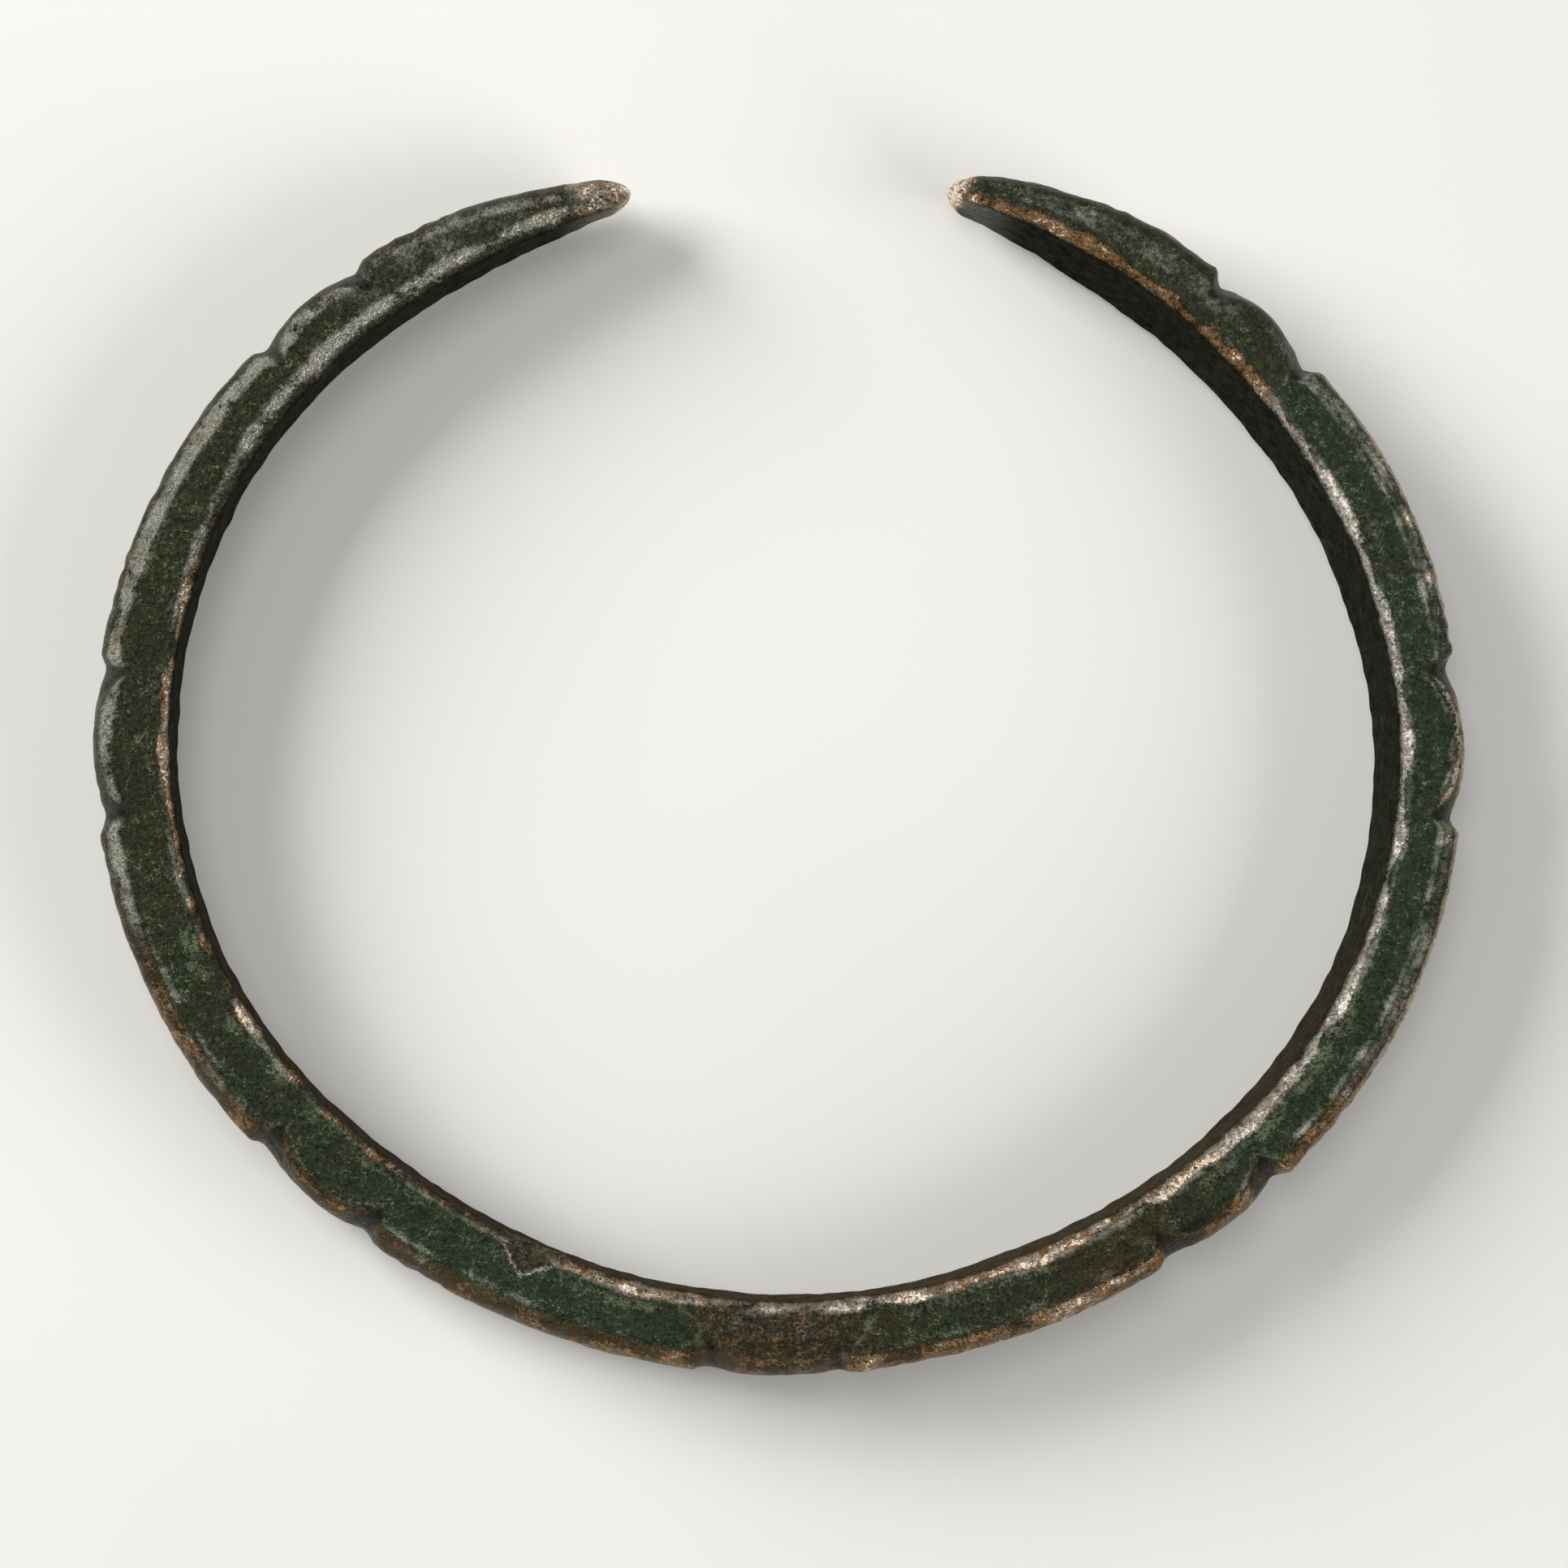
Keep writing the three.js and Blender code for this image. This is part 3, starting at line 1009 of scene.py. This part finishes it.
    def _lobe_cuts(self, place: Places) -> tuple[np.ndarray, ...]:
        """The notches that bite across the bevel, and the scooped lobes with worn crests between them.

        Args:
            place: Where the points lie.

        Returns:
            How deep in a bite, how deep in a scoop, how far up a crest and how near the near face's hem
            each point is, from 0 to 1.
        """
        to_rim = place.to_rim
        bite, scoop, crest = (np.zeros_like(to_rim) for _ in range(3))
        hem = hump(to_rim, self.hem_place, self.hem_width)
        for lobe in self.form.lobes:
            off = np.abs(place.along - self.form.distance_of(lobe.angle))
            half = lobe.length / 2
            deep = lobe.notch / self.full_notch
            bitten = hump(off - half, 0.05, self.bite_width) * smooth(2.0, 1.5, to_rim)
            bite = np.maximum(bite, deep * bitten)
            share = np.clip(off / half, 0.0, 1.0)
            line = self.crest_place + self.crest_sweep * share**2.2
            within = smooth(half + 0.15, half - 0.05, off)
            hollow = smooth(0.35, 0.95, share) * within * smooth(line + 0.05, line - 0.40, to_rim)
            scoop = np.maximum(scoop, deep * hollow)
            arch = hump(to_rim, line, self.crest_width) * smooth(1.0, 0.85, share)
            crest = np.maximum(crest, deep * arch * within)
            hem = hem * (1 - within) + within * hump(to_rim - line, self.hem_off, self.hem_width)
        return bite * place.outer, scoop * place.outer * place.lit, crest, hem

    def _heights(self, place: Places, cuts: Cuts) -> np.ndarray:
        """How far each point stands out from the plain form.

        Args:
            place: Where the points lie.
            cuts: What is cut and grown there.

        Returns:
            Heights in millimetres.
        """
        size = self.sizes
        height = size.broad * place.broad + size.lumps * place.lumps
        height = height + (size.flecks * place.flecks + size.grit * place.grit) * (1 - 0.6 * place.under)

        # The near face is worn down towards both its edges.
        height = height - size.ridge_drop * place.near * smooth(1.10, 0.25, place.inwards) ** 1.5
        height = height - size.bevel_drop * place.near * smooth(1.75, 1.15, place.to_rim) ** 1.5

        # The notches bite deeper across the bevel, and are a little filled low on the outer side.
        height = height + cuts.bite * (size.notch_fill - size.notch_bite * place.lit)
        height = height - size.scoop * cuts.scoop + size.crest * cuts.crest - cuts.grooves

        height = height - size.ridge_nick * cuts.ridge_nicks * place.ridge
        height = height - size.rim_nick * cuts.rim_nicks * np.maximum(place.rim, 0.8 * place.bevel)
        height = height - size.wall_dent * cuts.wall_dents * place.wall
        height = height + size.crust * cuts.crust * (1 + 0.5 * place.grit) - size.pit * cuts.pits
        height = np.minimum(height, size.proud_limit)

        # The chip is broken rough inside, with a lip along its edges.
        filling = size.chip_fill + size.chip_rough * self.chip_lumps.at(place.points)
        height = height + place.chip * filling + size.chip_lip * place.lip
        return height * smooth(0.1, self.end_calm, place.to_end)

    def _tones(self, place: Places, cuts: Cuts) -> dict[Tone, np.ndarray]:
        """What each point has turned to, and the sheen and shade painted on it.

        Args:
            place: Where the points lie.
            cuts: What is cut and grown there.

        Returns:
            Each tone's amount, from 0 to 1.
        """
        weather, bearing, chip = self.weather, place.bearing, place.chip
        rust = weather.rust.at(bearing)
        inner = place.inwards < place.to_rim
        copper = np.where(inner, weather.ridge_copper.at(bearing), weather.bevel_copper.at(bearing))
        # Painted shade, with dirt: darker in the notches, the lobes' scoops, the pits, the grooves and the
        # ridge's nicks.
        hollow = 0.8 * cuts.bite + (0.25 + 0.6 * rust) * cuts.scoop + 0.35 * cuts.pits
        hollow = hollow + 1.2 * cuts.grooves + 0.3 * cuts.ridge_nicks * place.ridge
        brown = np.maximum(weather.brown.at(bearing) * (1 - place.under), 0.35 * chip)
        rusty = np.maximum(smooth(1.3, 0.9, place.to_rim) * place.outer, place.wall)
        brown = np.maximum(brown, rust * rusty)
        green = weather.green.at(bearing) * (0.35 + 0.65 * place.face) * (1 - 0.5 * chip)
        return {
            Tone.WORN: self._worn(place, cuts),
            Tone.COPPER: weather.toned(Tone.COPPER, place, copper * (1 - place.lip)),
            Tone.CRUST: np.maximum(cuts.crust * (1 - chip) + 0.65 * chip, place.lip),
            Tone.GREEN: np.clip(green, 0, 1),
            Tone.BROWN: weather.toned(Tone.BROWN, place, brown),
            Tone.GLOSS_AND_PAINTED_SHEEN: self._gloss_and_painted_sheen(place, cuts),
            Tone.DIRT_AND_PAINTED_SHADE: weather.toned(Tone.DIRT_AND_PAINTED_SHADE, place, hollow),
            # The inner wall and the underside: their soil colour, kept dark and without reflection as
            # painted shade.
            Tone.EARTH_AND_PAINTED_SHADE: np.clip(place.wall + 0.5 * place.under, 0, 1) * smooth(1.5, 5.0, place.to_end),
        }

    def _worn(self, place: Places, cuts: Cuts) -> np.ndarray:
        """How bare of patina each point is.

        Args:
            place: Where the points lie.
            cuts: What is cut and grown there.

        Returns:
            The wear, from 0 to 1.
        """
        weather, bearing = self.weather, place.bearing
        uneven = 0.10 * place.lumps + 0.08 * place.flecks + 0.05 * place.grit
        # The ridge's middle is made barer, which paints a bright highlight line along it.
        ridge_and_painted_highlight = place.ridge * (1 + 0.15 * hump(place.inwards, 0.5 * place.wide, 0.25 * place.wide))
        parts = (
            (ridge_and_painted_highlight, weather.ridge_wear, 1.0),
            (place.rim, weather.edge_wear, 0.6),
            (place.shoulder, weather.bevel_wear, 1.0),
        )
        worn = 0.08 * place.near
        for part, wear, ragged in parts:
            worn = np.maximum(worn, part * np.clip(wear.at(bearing) + ragged * uneven, 0, 1))
        worn = weather.toned(Tone.WORN, place, worn)
        worn = np.maximum(worn, weather.crest_wear.at(bearing) * cuts.crest) * (1 - 0.5 * place.chip)
        worn = np.maximum(worn, np.maximum(0.8 * place.lip, 0.5 * place.chip))
        return worn * (1 - 0.5 * cuts.bite) * (1 - 0.6 * cuts.scoop)

    def _gloss_and_painted_sheen(self, place: Places, cuts: Cuts) -> np.ndarray:
        """How much painted grey sheen lies on each point; it also makes the point glossier.

        Args:
            place: Where the points lie.
            cuts: What is cut and grown there.

        Returns:
            The sheen, from 0 to 1.
        """
        weather, bearing = self.weather, place.bearing
        # Painted highlights: a band along the upward-facing bevel, another along the inner ridge and a line
        # along the near face's hem.
        sheen = weather.bevel_painted_sheen.at(bearing) * hump(place.to_rim, 0.80, 0.35) * place.lit
        sheen = sheen * (1 + 0.30 * place.broad + 0.15 * place.lumps)
        band = weather.ridge_width.at(bearing)
        ridge = hump(place.inwards, 0.65 * band, 0.34 * band) * smooth(0.1, 0.5, place.up)
        ridge = weather.ridge_painted_sheen.at(bearing) * ridge
        sheen = np.maximum(sheen, ridge * (1 + 0.25 * place.broad + 0.20 * place.lumps))
        hem = weather.hem_painted_sheen.at(bearing) * cuts.hem * place.face
        sheen = np.maximum(sheen, hem * (1 + 0.20 * place.lumps + 0.20 * place.flecks))
        return weather.toned(Tone.GLOSS_AND_PAINTED_SHEEN, place, sheen) * (1 - 0.7 * cuts.scoop)

    def _mesh(self, points: np.ndarray, tips: np.ndarray, place: Places,
              tones: dict[Tone, np.ndarray]) -> bpy.types.Object:
        """Makes the object of the surface's points.

        Args:
            points: The points by station and by place round the section, in millimetres.
            tips: The two tips.
            place: Where the points lie.
            tones: The amounts to keep as attributes.

        Returns:
            The object.
        """
        rows, size = points.shape[:2]
        number = np.arange(rows * size).reshape(rows, size)
        beside = np.roll(number, -1, axis=1)
        quads = np.stack([number[:-1], beside[:-1], beside[1:], number[1:]], axis=-1).reshape(-1, 4)
        right, left = rows * size, rows * size + 1
        faces = quads.tolist()
        faces += [(right, int(beside[0, k]), int(number[0, k])) for k in range(size)]
        faces += [(left, int(number[-1, k]), int(beside[-1, k])) for k in range(size)]
        mesh = bpy.data.meshes.new("bracelet_surface")
        mesh.from_pydata((np.concatenate([points.reshape(-1, 3), tips]) * MM).tolist(), [], faces)
        mesh.validate()
        mesh.shade_smooth()
        for tone, amount in tones.items():
            self._keep(mesh, tone.value, amount, (amount[0].mean(), amount[-1].mean()))
        out, up = place.ring.out, place.ring.up
        steps = np.hypot(np.diff(out, axis=1, prepend=out[:, :1]), np.diff(up, axis=1, prepend=up[:, :1]))
        self._keep(mesh, "along", place.along, (0.0, self.form.length))
        self._keep(mesh, "around", np.cumsum(steps, axis=1), (0.0, 0.0))
        return put("bracelet_bar", mesh)

    @staticmethod
    def _keep(mesh: bpy.types.Mesh, name: str, amount: np.ndarray, ends: tuple[float, float]) -> None:
        """Keeps an amount as an attribute of the mesh's points.

        Args:
            mesh: The mesh.
            name: The attribute's name.
            amount: A number for each point of the sections.
            ends: The numbers of the two tips.
        """
        kept = mesh.attributes.new(name, "FLOAT", "POINT")
        kept.data.foreach_set("value", np.concatenate([amount.ravel(), ends]).astype(np.float32))


class Shade:
    """A value inside a material that can be reckoned with like a number."""

    def __init__(self, bench: "NodeBench", socket: bpy.types.NodeSocket) -> None:
        """Holds a socket of a bench's material.

        Args:
            bench: Where the material is made.
            socket: The output socket that carries the value.
        """
        self.bench = bench
        self.socket = socket

    def _math(self, operation: str, first: "Shade | float", second: "Shade | float") -> "Shade":
        """One sum of two values.

        Args:
            operation: What is done.
            first: The first value.
            second: The second value.

        Returns:
            The result.
        """
        node = self.bench.node("ShaderNodeMath", {"operation": operation}, {0: first, 1: second})
        return Shade(self.bench, node.outputs[0])

    def __add__(self, other: "Shade | float") -> "Shade":
        """This and another."""
        return self._math("ADD", self, other)

    def __radd__(self, other: float) -> "Shade":
        """Another and this."""
        return self._math("ADD", other, self)

    def __sub__(self, other: "Shade | float") -> "Shade":
        """This less another."""
        return self._math("SUBTRACT", self, other)

    def __rsub__(self, other: float) -> "Shade":
        """Another less this."""
        return self._math("SUBTRACT", other, self)

    def __mul__(self, other: "Shade | float") -> "Shade":
        """This times another."""
        return self._math("MULTIPLY", self, other)

    def __rmul__(self, other: float) -> "Shade":
        """Another times this."""
        return self._math("MULTIPLY", other, self)

    def at_least(self, other: "Shade | float") -> "Shade":
        """The larger of this and another."""
        return self._math("MAXIMUM", self, other)

    def between(self, low: float, high: float, start: float = 0.0, stop: float = 1.0) -> "Shade":
        """Rises gently between two levels.

        Args:
            low: The level where the rise begins.
            high: The level where it ends.
            start: The result below the first level.
            stop: The result above the second.

        Returns:
            The result.
        """
        node = self.bench.node(
            "ShaderNodeMapRange",
            {"interpolation_type": "SMOOTHSTEP"},
            {"Value": self, "From Min": low, "From Max": high, "To Min": start, "To Max": stop},
        )
        return Shade(self.bench, node.outputs["Result"])


Colour = tuple[float, float, float]


class NodeBench:
    """The bench where one material's nodes are put together."""

    def __init__(self, name: str) -> None:
        """Starts a material with an empty bench.

        Args:
            name: The material's name.
        """
        self.material = bpy.data.materials.new(name)
        self.material.use_nodes = True
        self.tree = self.material.node_tree
        self.tree.nodes.clear()

    def node(self, kind: str, settings: dict[str, object] | None = None,
             sockets: dict[str | int, object] | None = None) -> bpy.types.Node:
        """Adds a node.

        Args:
            kind: The node's type.
            settings: Its settings, by name.
            sockets: The value or link of each input socket, by name or number.

        Returns:
            The node.
        """
        node = self.tree.nodes.new(kind)
        for name, value in (settings or {}).items():
            setattr(node, name, value)
        for key, value in (sockets or {}).items():
            socket = node.inputs[key]
            if isinstance(value, Shade):
                self.tree.links.new(value.socket, socket)
            elif isinstance(value, bpy.types.NodeSocket):
                self.tree.links.new(value, socket)
            elif socket.type == "RGBA":
                socket.default_value = (*value, 1.0)
            else:
                socket.default_value = value
        return node

    def kept(self, name: str) -> Shade:
        """An amount that the mesh keeps as an attribute of its points."""
        node = self.node("ShaderNodeAttribute", {"attribute_type": "GEOMETRY", "attribute_name": name})
        return Shade(self, node.outputs["Fac"])

    def place(self) -> bpy.types.NodeSocket:
        """The place on the object in millimetres."""
        sockets = {0: self.node("ShaderNodeTexCoord").outputs["Object"], 1: (1 / MM, 1 / MM, 1 / MM)}
        return self.node("ShaderNodeVectorMath", {"operation": "MULTIPLY"}, sockets).outputs[0]

    def bar_place(self, along: float, around: float) -> bpy.types.NodeSocket:
        """The place on the bar's surface, unrolled.

        Args:
            along: How far it is squeezed along the bar.
            around: How far it is squeezed around it.

        Returns:
            The vector.
        """
        node = self.node("ShaderNodeCombineXYZ", None, {
            "X": self.kept("along") * along,
            "Y": self.kept("around") * around,
        })
        return node.outputs[0]

    def noise(self, vector: bpy.types.NodeSocket, scale: float, detail: float = 2.0,
              rough: float = 0.5) -> Shade:
        """A cloudy noise.

        Args:
            vector: Where it is read.
            scale: How many clouds there are to a millimetre.
            detail: How many finer layers it has.
            rough: How strong those are.

        Returns:
            A value about 0, mostly between -0.5 and 0.5.
        """
        node = self.node("ShaderNodeTexNoise", {"noise_dimensions": "3D"}, {
            "Vector": vector, "Scale": scale, "Detail": detail, "Roughness": rough,
        })
        return (Shade(self, node.outputs["Fac"]) - 0.5) * 2.6

    def mix(self, share: Shade | float, first: object, second: object) -> bpy.types.NodeSocket:
        """Two colours mixed.

        Args:
            share: The second colour's share.
            first: The first colour.
            second: The second colour.

        Returns:
            The mixed colour.
        """
        node = self.node("ShaderNodeMix", {"data_type": "RGBA"}, {0: share, 6: first, 7: second})
        return node.outputs[2]

    def finish(self, shader: bpy.types.Node) -> bpy.types.Material:
        """Joins the shader to the material's output.

        Args:
            shader: The shader's node.

        Returns:
            The material.
        """
        self.node("ShaderNodeOutputMaterial", None, {"Surface": shader.outputs[0]})
        return self.material


@dataclass(frozen=True)
class AgedBronze:
    """Old bronze that has lain in the ground: olive patina, green crust, brown tarnish and worn metal, with
    painted sheen, glints and shade.
    """

    dark: Colour = (0.006, 0.008, 0.003)
    olive: Colour = (0.030, 0.033, 0.013)
    deep: Colour = (0.006, 0.014, 0.007)
    emerald: Colour = (0.020, 0.046, 0.019)
    speck: Colour = (0.210, 0.220, 0.125)
    pale: Colour = (0.125, 0.150, 0.090)
    tarnish: Colour = (0.048, 0.029, 0.010)
    loam_in_painted_shade: Colour = (0.009, 0.011, 0.005)
    moss: Colour = (0.040, 0.044, 0.016)
    bark: Colour = (0.042, 0.030, 0.014)
    soot_and_painted_shade: Colour = (0.005, 0.006, 0.004)
    painted_sheen_grey: Colour = (0.40, 0.405, 0.350)
    copper_low: Colour = (0.035, 0.019, 0.006)
    copper: Colour = (0.23, 0.136, 0.064)
    copper_painted_glint: Colour = (1.0, 0.85, 0.71)
    silver_low: Colour = (0.080, 0.077, 0.060)
    silver: Colour = (0.40, 0.380, 0.345)
    silver_painted_glint: Colour = (1.0, 0.93, 0.86)
    skin_tint: Colour = (1.0, 0.96, 0.80)
    skin_gloss: float = 1.31
    bump_depth: float = 0.00011

    def made(self) -> bpy.types.Material:
        """Makes the finish.

        Returns:
            The material.
        """
        bench = NodeBench("aged_bronze")
        place = bench.place()
        cloud = bench.noise(place, 0.5, 3.0, 0.6)
        blotch = bench.noise(place, 1.6, 4.0, 0.65)
        grit = bench.noise(place, 4.2, 3.0, 0.65)
        dust = bench.noise(place, 9.0, 2.0, 0.6)
        streak = bench.noise(bench.bar_place(0.5, 4.0), 1.0, 3.0, 0.6)
        crinkle = bench.noise(bench.bar_place(1.5, 2.3), 1.0, 3.0, 0.65)
        fine = 0.6 * grit + 0.65 * dust

        worn, copper, crust, green, brown, sheen, hollow, earth_and_painted_shade = (bench.kept(tone.value) for tone in Tone)

        greened = (green + 0.6 * cloud + 0.35 * blotch + 0.35 * fine).between(0.15, 1.0)
        emerald = bench.mix((0.5 + 0.5 * blotch + fine).between(0.0, 1.0), self.deep, self.emerald)
        browned = (brown + 0.4 * blotch + 0.8 * fine).between(0.3, 0.85, 0.0, 0.95)
        specks = (dust + 0.5 * grit + 0.6 * blotch + 0.3 * cloud).between(0.40, 0.56)
        crusted = (crust * (1.0 + 0.5 * blotch) + 0.95 * fine).between(0.5, 1.15)
        # Painted sheen: a light grey colour laid where the sheen lies; the same share makes it more
        # metallic, smoother and less crinkled.
        gloss_and_painted_sheen_share = (sheen * (1.0 + 1.1 * cloud + 0.8 * blotch + 0.9 * fine + 0.4 * streak)).between(0.15, 1.0)
        # Painted shade, with dirt: a near-black colour laid in the hollows, which also covers some of the
        # bare metal there.
        soot_and_shade_share = (hollow * (1.0 + 0.4 * blotch + 0.4 * fine)).between(0.1, 0.8)
        layers = (
            (greened, emerald),
            (browned, self.tarnish),
            (specks * 0.75, self.speck),
            (crusted * 0.85, self.pale),
            (gloss_and_painted_sheen_share * 0.85, self.painted_sheen_grey),
            (soot_and_shade_share * 0.85, self.soot_and_painted_shade),
        )
        colour = bench.mix((0.5 + 0.4 * blotch + 0.9 * fine).between(0.1, 0.9), self.dark, self.olive)
        for share, tint in layers:
            colour = bench.mix(share, colour, tint)

        bare = (worn + (0.35 * blotch + 1.0 * fine + 0.4 * crinkle) * (worn + 0.1)).between(0.34, 0.62)
        bare = bare * (1.0 - 0.8 * soot_and_shade_share)
        warm = (copper + 0.7 * blotch + 0.5 * fine).between(0.25, 0.8)
        # The bare metal's colour, from dull to near white; its brightest step is painted glints, laid where
        # it is most worn and crinkled and under the painted sheen.
        painted_glint = 0.45 * crinkle + 0.25 * blotch + 0.7 * fine + 1.1 * worn + 0.35 * gloss_and_painted_sheen_share - 0.5
        low = bench.mix(warm, self.silver_low, self.copper_low)
        middle = bench.mix(warm, self.silver, self.copper)
        high = bench.mix(warm, self.silver_painted_glint, self.copper_painted_glint)
        metal = bench.mix(painted_glint.between(0.65, 0.98), bench.mix(painted_glint.between(0.03, 0.50), low, middle), high)
        colour = bench.mix(bare, colour, metal)

        metallic = (0.82 * bare).at_least(0.65 * gloss_and_painted_sheen_share)
        dull = 0.33 + 0.25 * crusted - 0.12 * gloss_and_painted_sheen_share + 0.22 * grit
        rough = (dull * (1.0 - bare) + bare * (0.30 + 0.25 * grit)).at_least(0.18)
        height = 2.2 * blotch + 1.2 * grit + 0.7 * dust + 0.3 * streak
        height = height + crinkle * (0.2 + 1.4 * worn) * (1.0 - 0.7 * gloss_and_painted_sheen_share)
        sockets = {"Strength": 1.0, "Distance": self.bump_depth, "Height": height}
        bump = bench.node("ShaderNodeBump", None, sockets)
        glossy = bench.node("ShaderNodeBsdfPrincipled", None, {
            "Base Color": colour,
            "Metallic": metallic,
            "Roughness": rough,
            "Normal": bump.outputs[0],
            "IOR": self.skin_gloss,
            "Specular Tint": self.skin_tint,
        })
        # The inner wall: a dark matt soil colour with no reflection, partly its own colour and partly
        # painted shade.
        earth_and_shade_colour = bench.mix((0.4 + blotch + 0.8 * streak).between(0.0, 1.0), self.soot_and_painted_shade, self.loam_in_painted_shade)
        earth_and_shade_colour = bench.mix((cloud + 0.6 * streak + 0.5 * grit).between(0.35, 0.8), earth_and_shade_colour, self.moss)
        earth_and_shade_colour = bench.mix((brown + 0.5 * fine + 0.4 * streak).between(0.35, 0.9), earth_and_shade_colour, self.bark)
        matt = bench.node("ShaderNodeBsdfPrincipled", None, {
            "Base Color": earth_and_shade_colour,
            "Roughness": 1.0,
            "Normal": bump.outputs[0],
            "IOR": 1.0,
        })
        sockets = {0: earth_and_painted_shade * (0.85 + 0.3 * blotch), 1: glossy.outputs[0], 2: matt.outputs[0]}
        return bench.finish(bench.node("ShaderNodeMixShader", None, sockets))


@dataclass(frozen=True)
class TableTop:
    """The plain pale table.

    Attributes:
        colour: Its colour.
        side: Its length and width, in metres.
    """

    colour: Colour = (0.72, 0.715, 0.70)
    side: float = 1.6

    def laid(self) -> bpy.types.Object:
        """Lays the table under the bracelet.

        Returns:
            The table's object.
        """
        half = self.side / 2
        corners = [(-half, -half, 0), (half, -half, 0), (half, half, 0), (-half, half, 0)]
        mesh = bpy.data.meshes.new("table_top")
        mesh.from_pydata(corners, [], [(0, 1, 2, 3)])
        table = put("table_top", mesh)
        bench = NodeBench("matt_board")
        cloud = bench.noise(bench.place(), 0.02, 2.0)
        tint = bench.mix(cloud.between(-0.5, 0.5), self.colour, tuple(0.97 * share for share in self.colour))
        shader = bench.node("ShaderNodeBsdfPrincipled", None, {"Base Color": tint, "Roughness": 0.9})
        mesh.materials.append(bench.finish(shader))
        return table


@dataclass(frozen=True)
class SoftLamp:
    """A large soft lamp aimed at the bracelet.

    Attributes:
        name: Its name.
        place: Where it hangs, in metres.
        side: Its width and height.
        power: Its power in watts.
        colour: The colour of its light.
    """

    name: str
    place: tuple[float, float, float]
    side: float
    power: float
    colour: Colour = (1.0, 1.0, 1.0)

    def hung(self) -> bpy.types.Object:
        """Hangs the lamp.

        Returns:
            The lamp's object.
        """
        light = bpy.data.lights.new(self.name, "AREA")
        light.shape = "SQUARE"
        light.size = self.side
        light.energy = self.power
        light.color = self.colour
        lamp = put(self.name, light)
        lamp.location = self.place
        lamp.rotation_euler = (-Vector(self.place)).to_track_quat("-Z", "Y").to_euler()
        return lamp


@dataclass(frozen=True)
class Studio:
    """The camera over the table and the soft light round it.

    Attributes:
        eye: Where the camera is, in millimetres.
        aim: The point that it looks at.
        lens: Its focal length in millimetres.
        sensor: The width of its sensor.
        lamps: The lamps.
        air: The brightness of the room.
    """

    eye: tuple[float, float, float] = (-12.17, -10.03, 261.0)
    aim: tuple[float, float, float] = (0.04, -0.69, 6.0)
    lens: float = 114.7
    sensor: float = 36.0
    lamps: tuple[SoftLamp, ...] = (
        SoftLamp("window_left", (-0.48, 0.26, 0.28), 0.34, 5.7, (1.0, 0.985, 0.94)),
        SoftLamp("fill_right", (0.50, -0.20, 0.26), 0.40, 3.2, (1.0, 0.985, 0.94)),
        SoftLamp("overhead", (-0.12, 0.16, 0.64), 0.26, 0.9),
    )
    air: float = 0.10

    def set_up(self) -> None:
        """Sets the camera, the lamps and the room's light."""
        camera = put("camera", bpy.data.cameras.new("camera"))
        camera.data.lens = self.lens
        camera.data.sensor_width = self.sensor
        camera.data.clip_start = 0.01
        eye, aim = Vector(self.eye) * MM, Vector(self.aim) * MM
        back = (eye - aim).normalized()
        right = Vector((0.0, 1.0, 0.0)).cross(back).normalized()
        above = back.cross(right)
        camera.matrix_world = self._pose(right, above, back, eye)
        bpy.context.scene.camera = camera
        for lamp in self.lamps:
            lamp.hung()
        world = bpy.data.worlds.new("room")
        world.use_nodes = True
        glow = world.node_tree.nodes["Background"]
        glow.inputs["Color"].default_value = (1.0, 1.0, 1.0, 1.0)
        glow.inputs["Strength"].default_value = self.air
        bpy.context.scene.world = world
        bpy.context.scene.view_settings.view_transform = "Standard"

    @staticmethod
    def _pose(right: Vector, above: Vector, back: Vector, eye: Vector) -> Matrix:
        """A camera's pose from its three directions and its place.

        Args:
            right: The direction to its right.
            above: The direction over it.
            back: The direction behind it.
            eye: Its place.

        Returns:
            The matrix.
        """
        turned = Matrix((right, above, back)).transposed().to_4x4()
        turned.translation = eye
        return turned


@dataclass(frozen=True)
class SizeNote:
    """The last step of the set-up, which brings the scene up to date.
    """

    def written(self) -> None:
        """Updates the view layer."""
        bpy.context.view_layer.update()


def main() -> None:
    """Builds the bracelet, lays the table under it, and sets up the light and the camera."""
    logging.basicConfig(level=logging.INFO, format="%(name)s: %(message)s")
    surface = BraceletSurface(BarForm())
    lowest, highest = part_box("bracelet")
    bar = surface.lie(lowest, highest)
    bar.data.materials.append(AgedBronze().made())
    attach(bar, "root")
    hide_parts("bracelet")
    LOG.info("bar: %d points, %.1f mm long", len(bar.data.vertices), surface.form.length)
    table = TableTop().laid()
    LOG.info("table: %.1f m", table.dimensions.x)
    studio = Studio()
    studio.set_up()
    LOG.info("studio: %d lamps", len(studio.lamps))
    SizeNote().written()


if __name__ == "__main__":
    main()
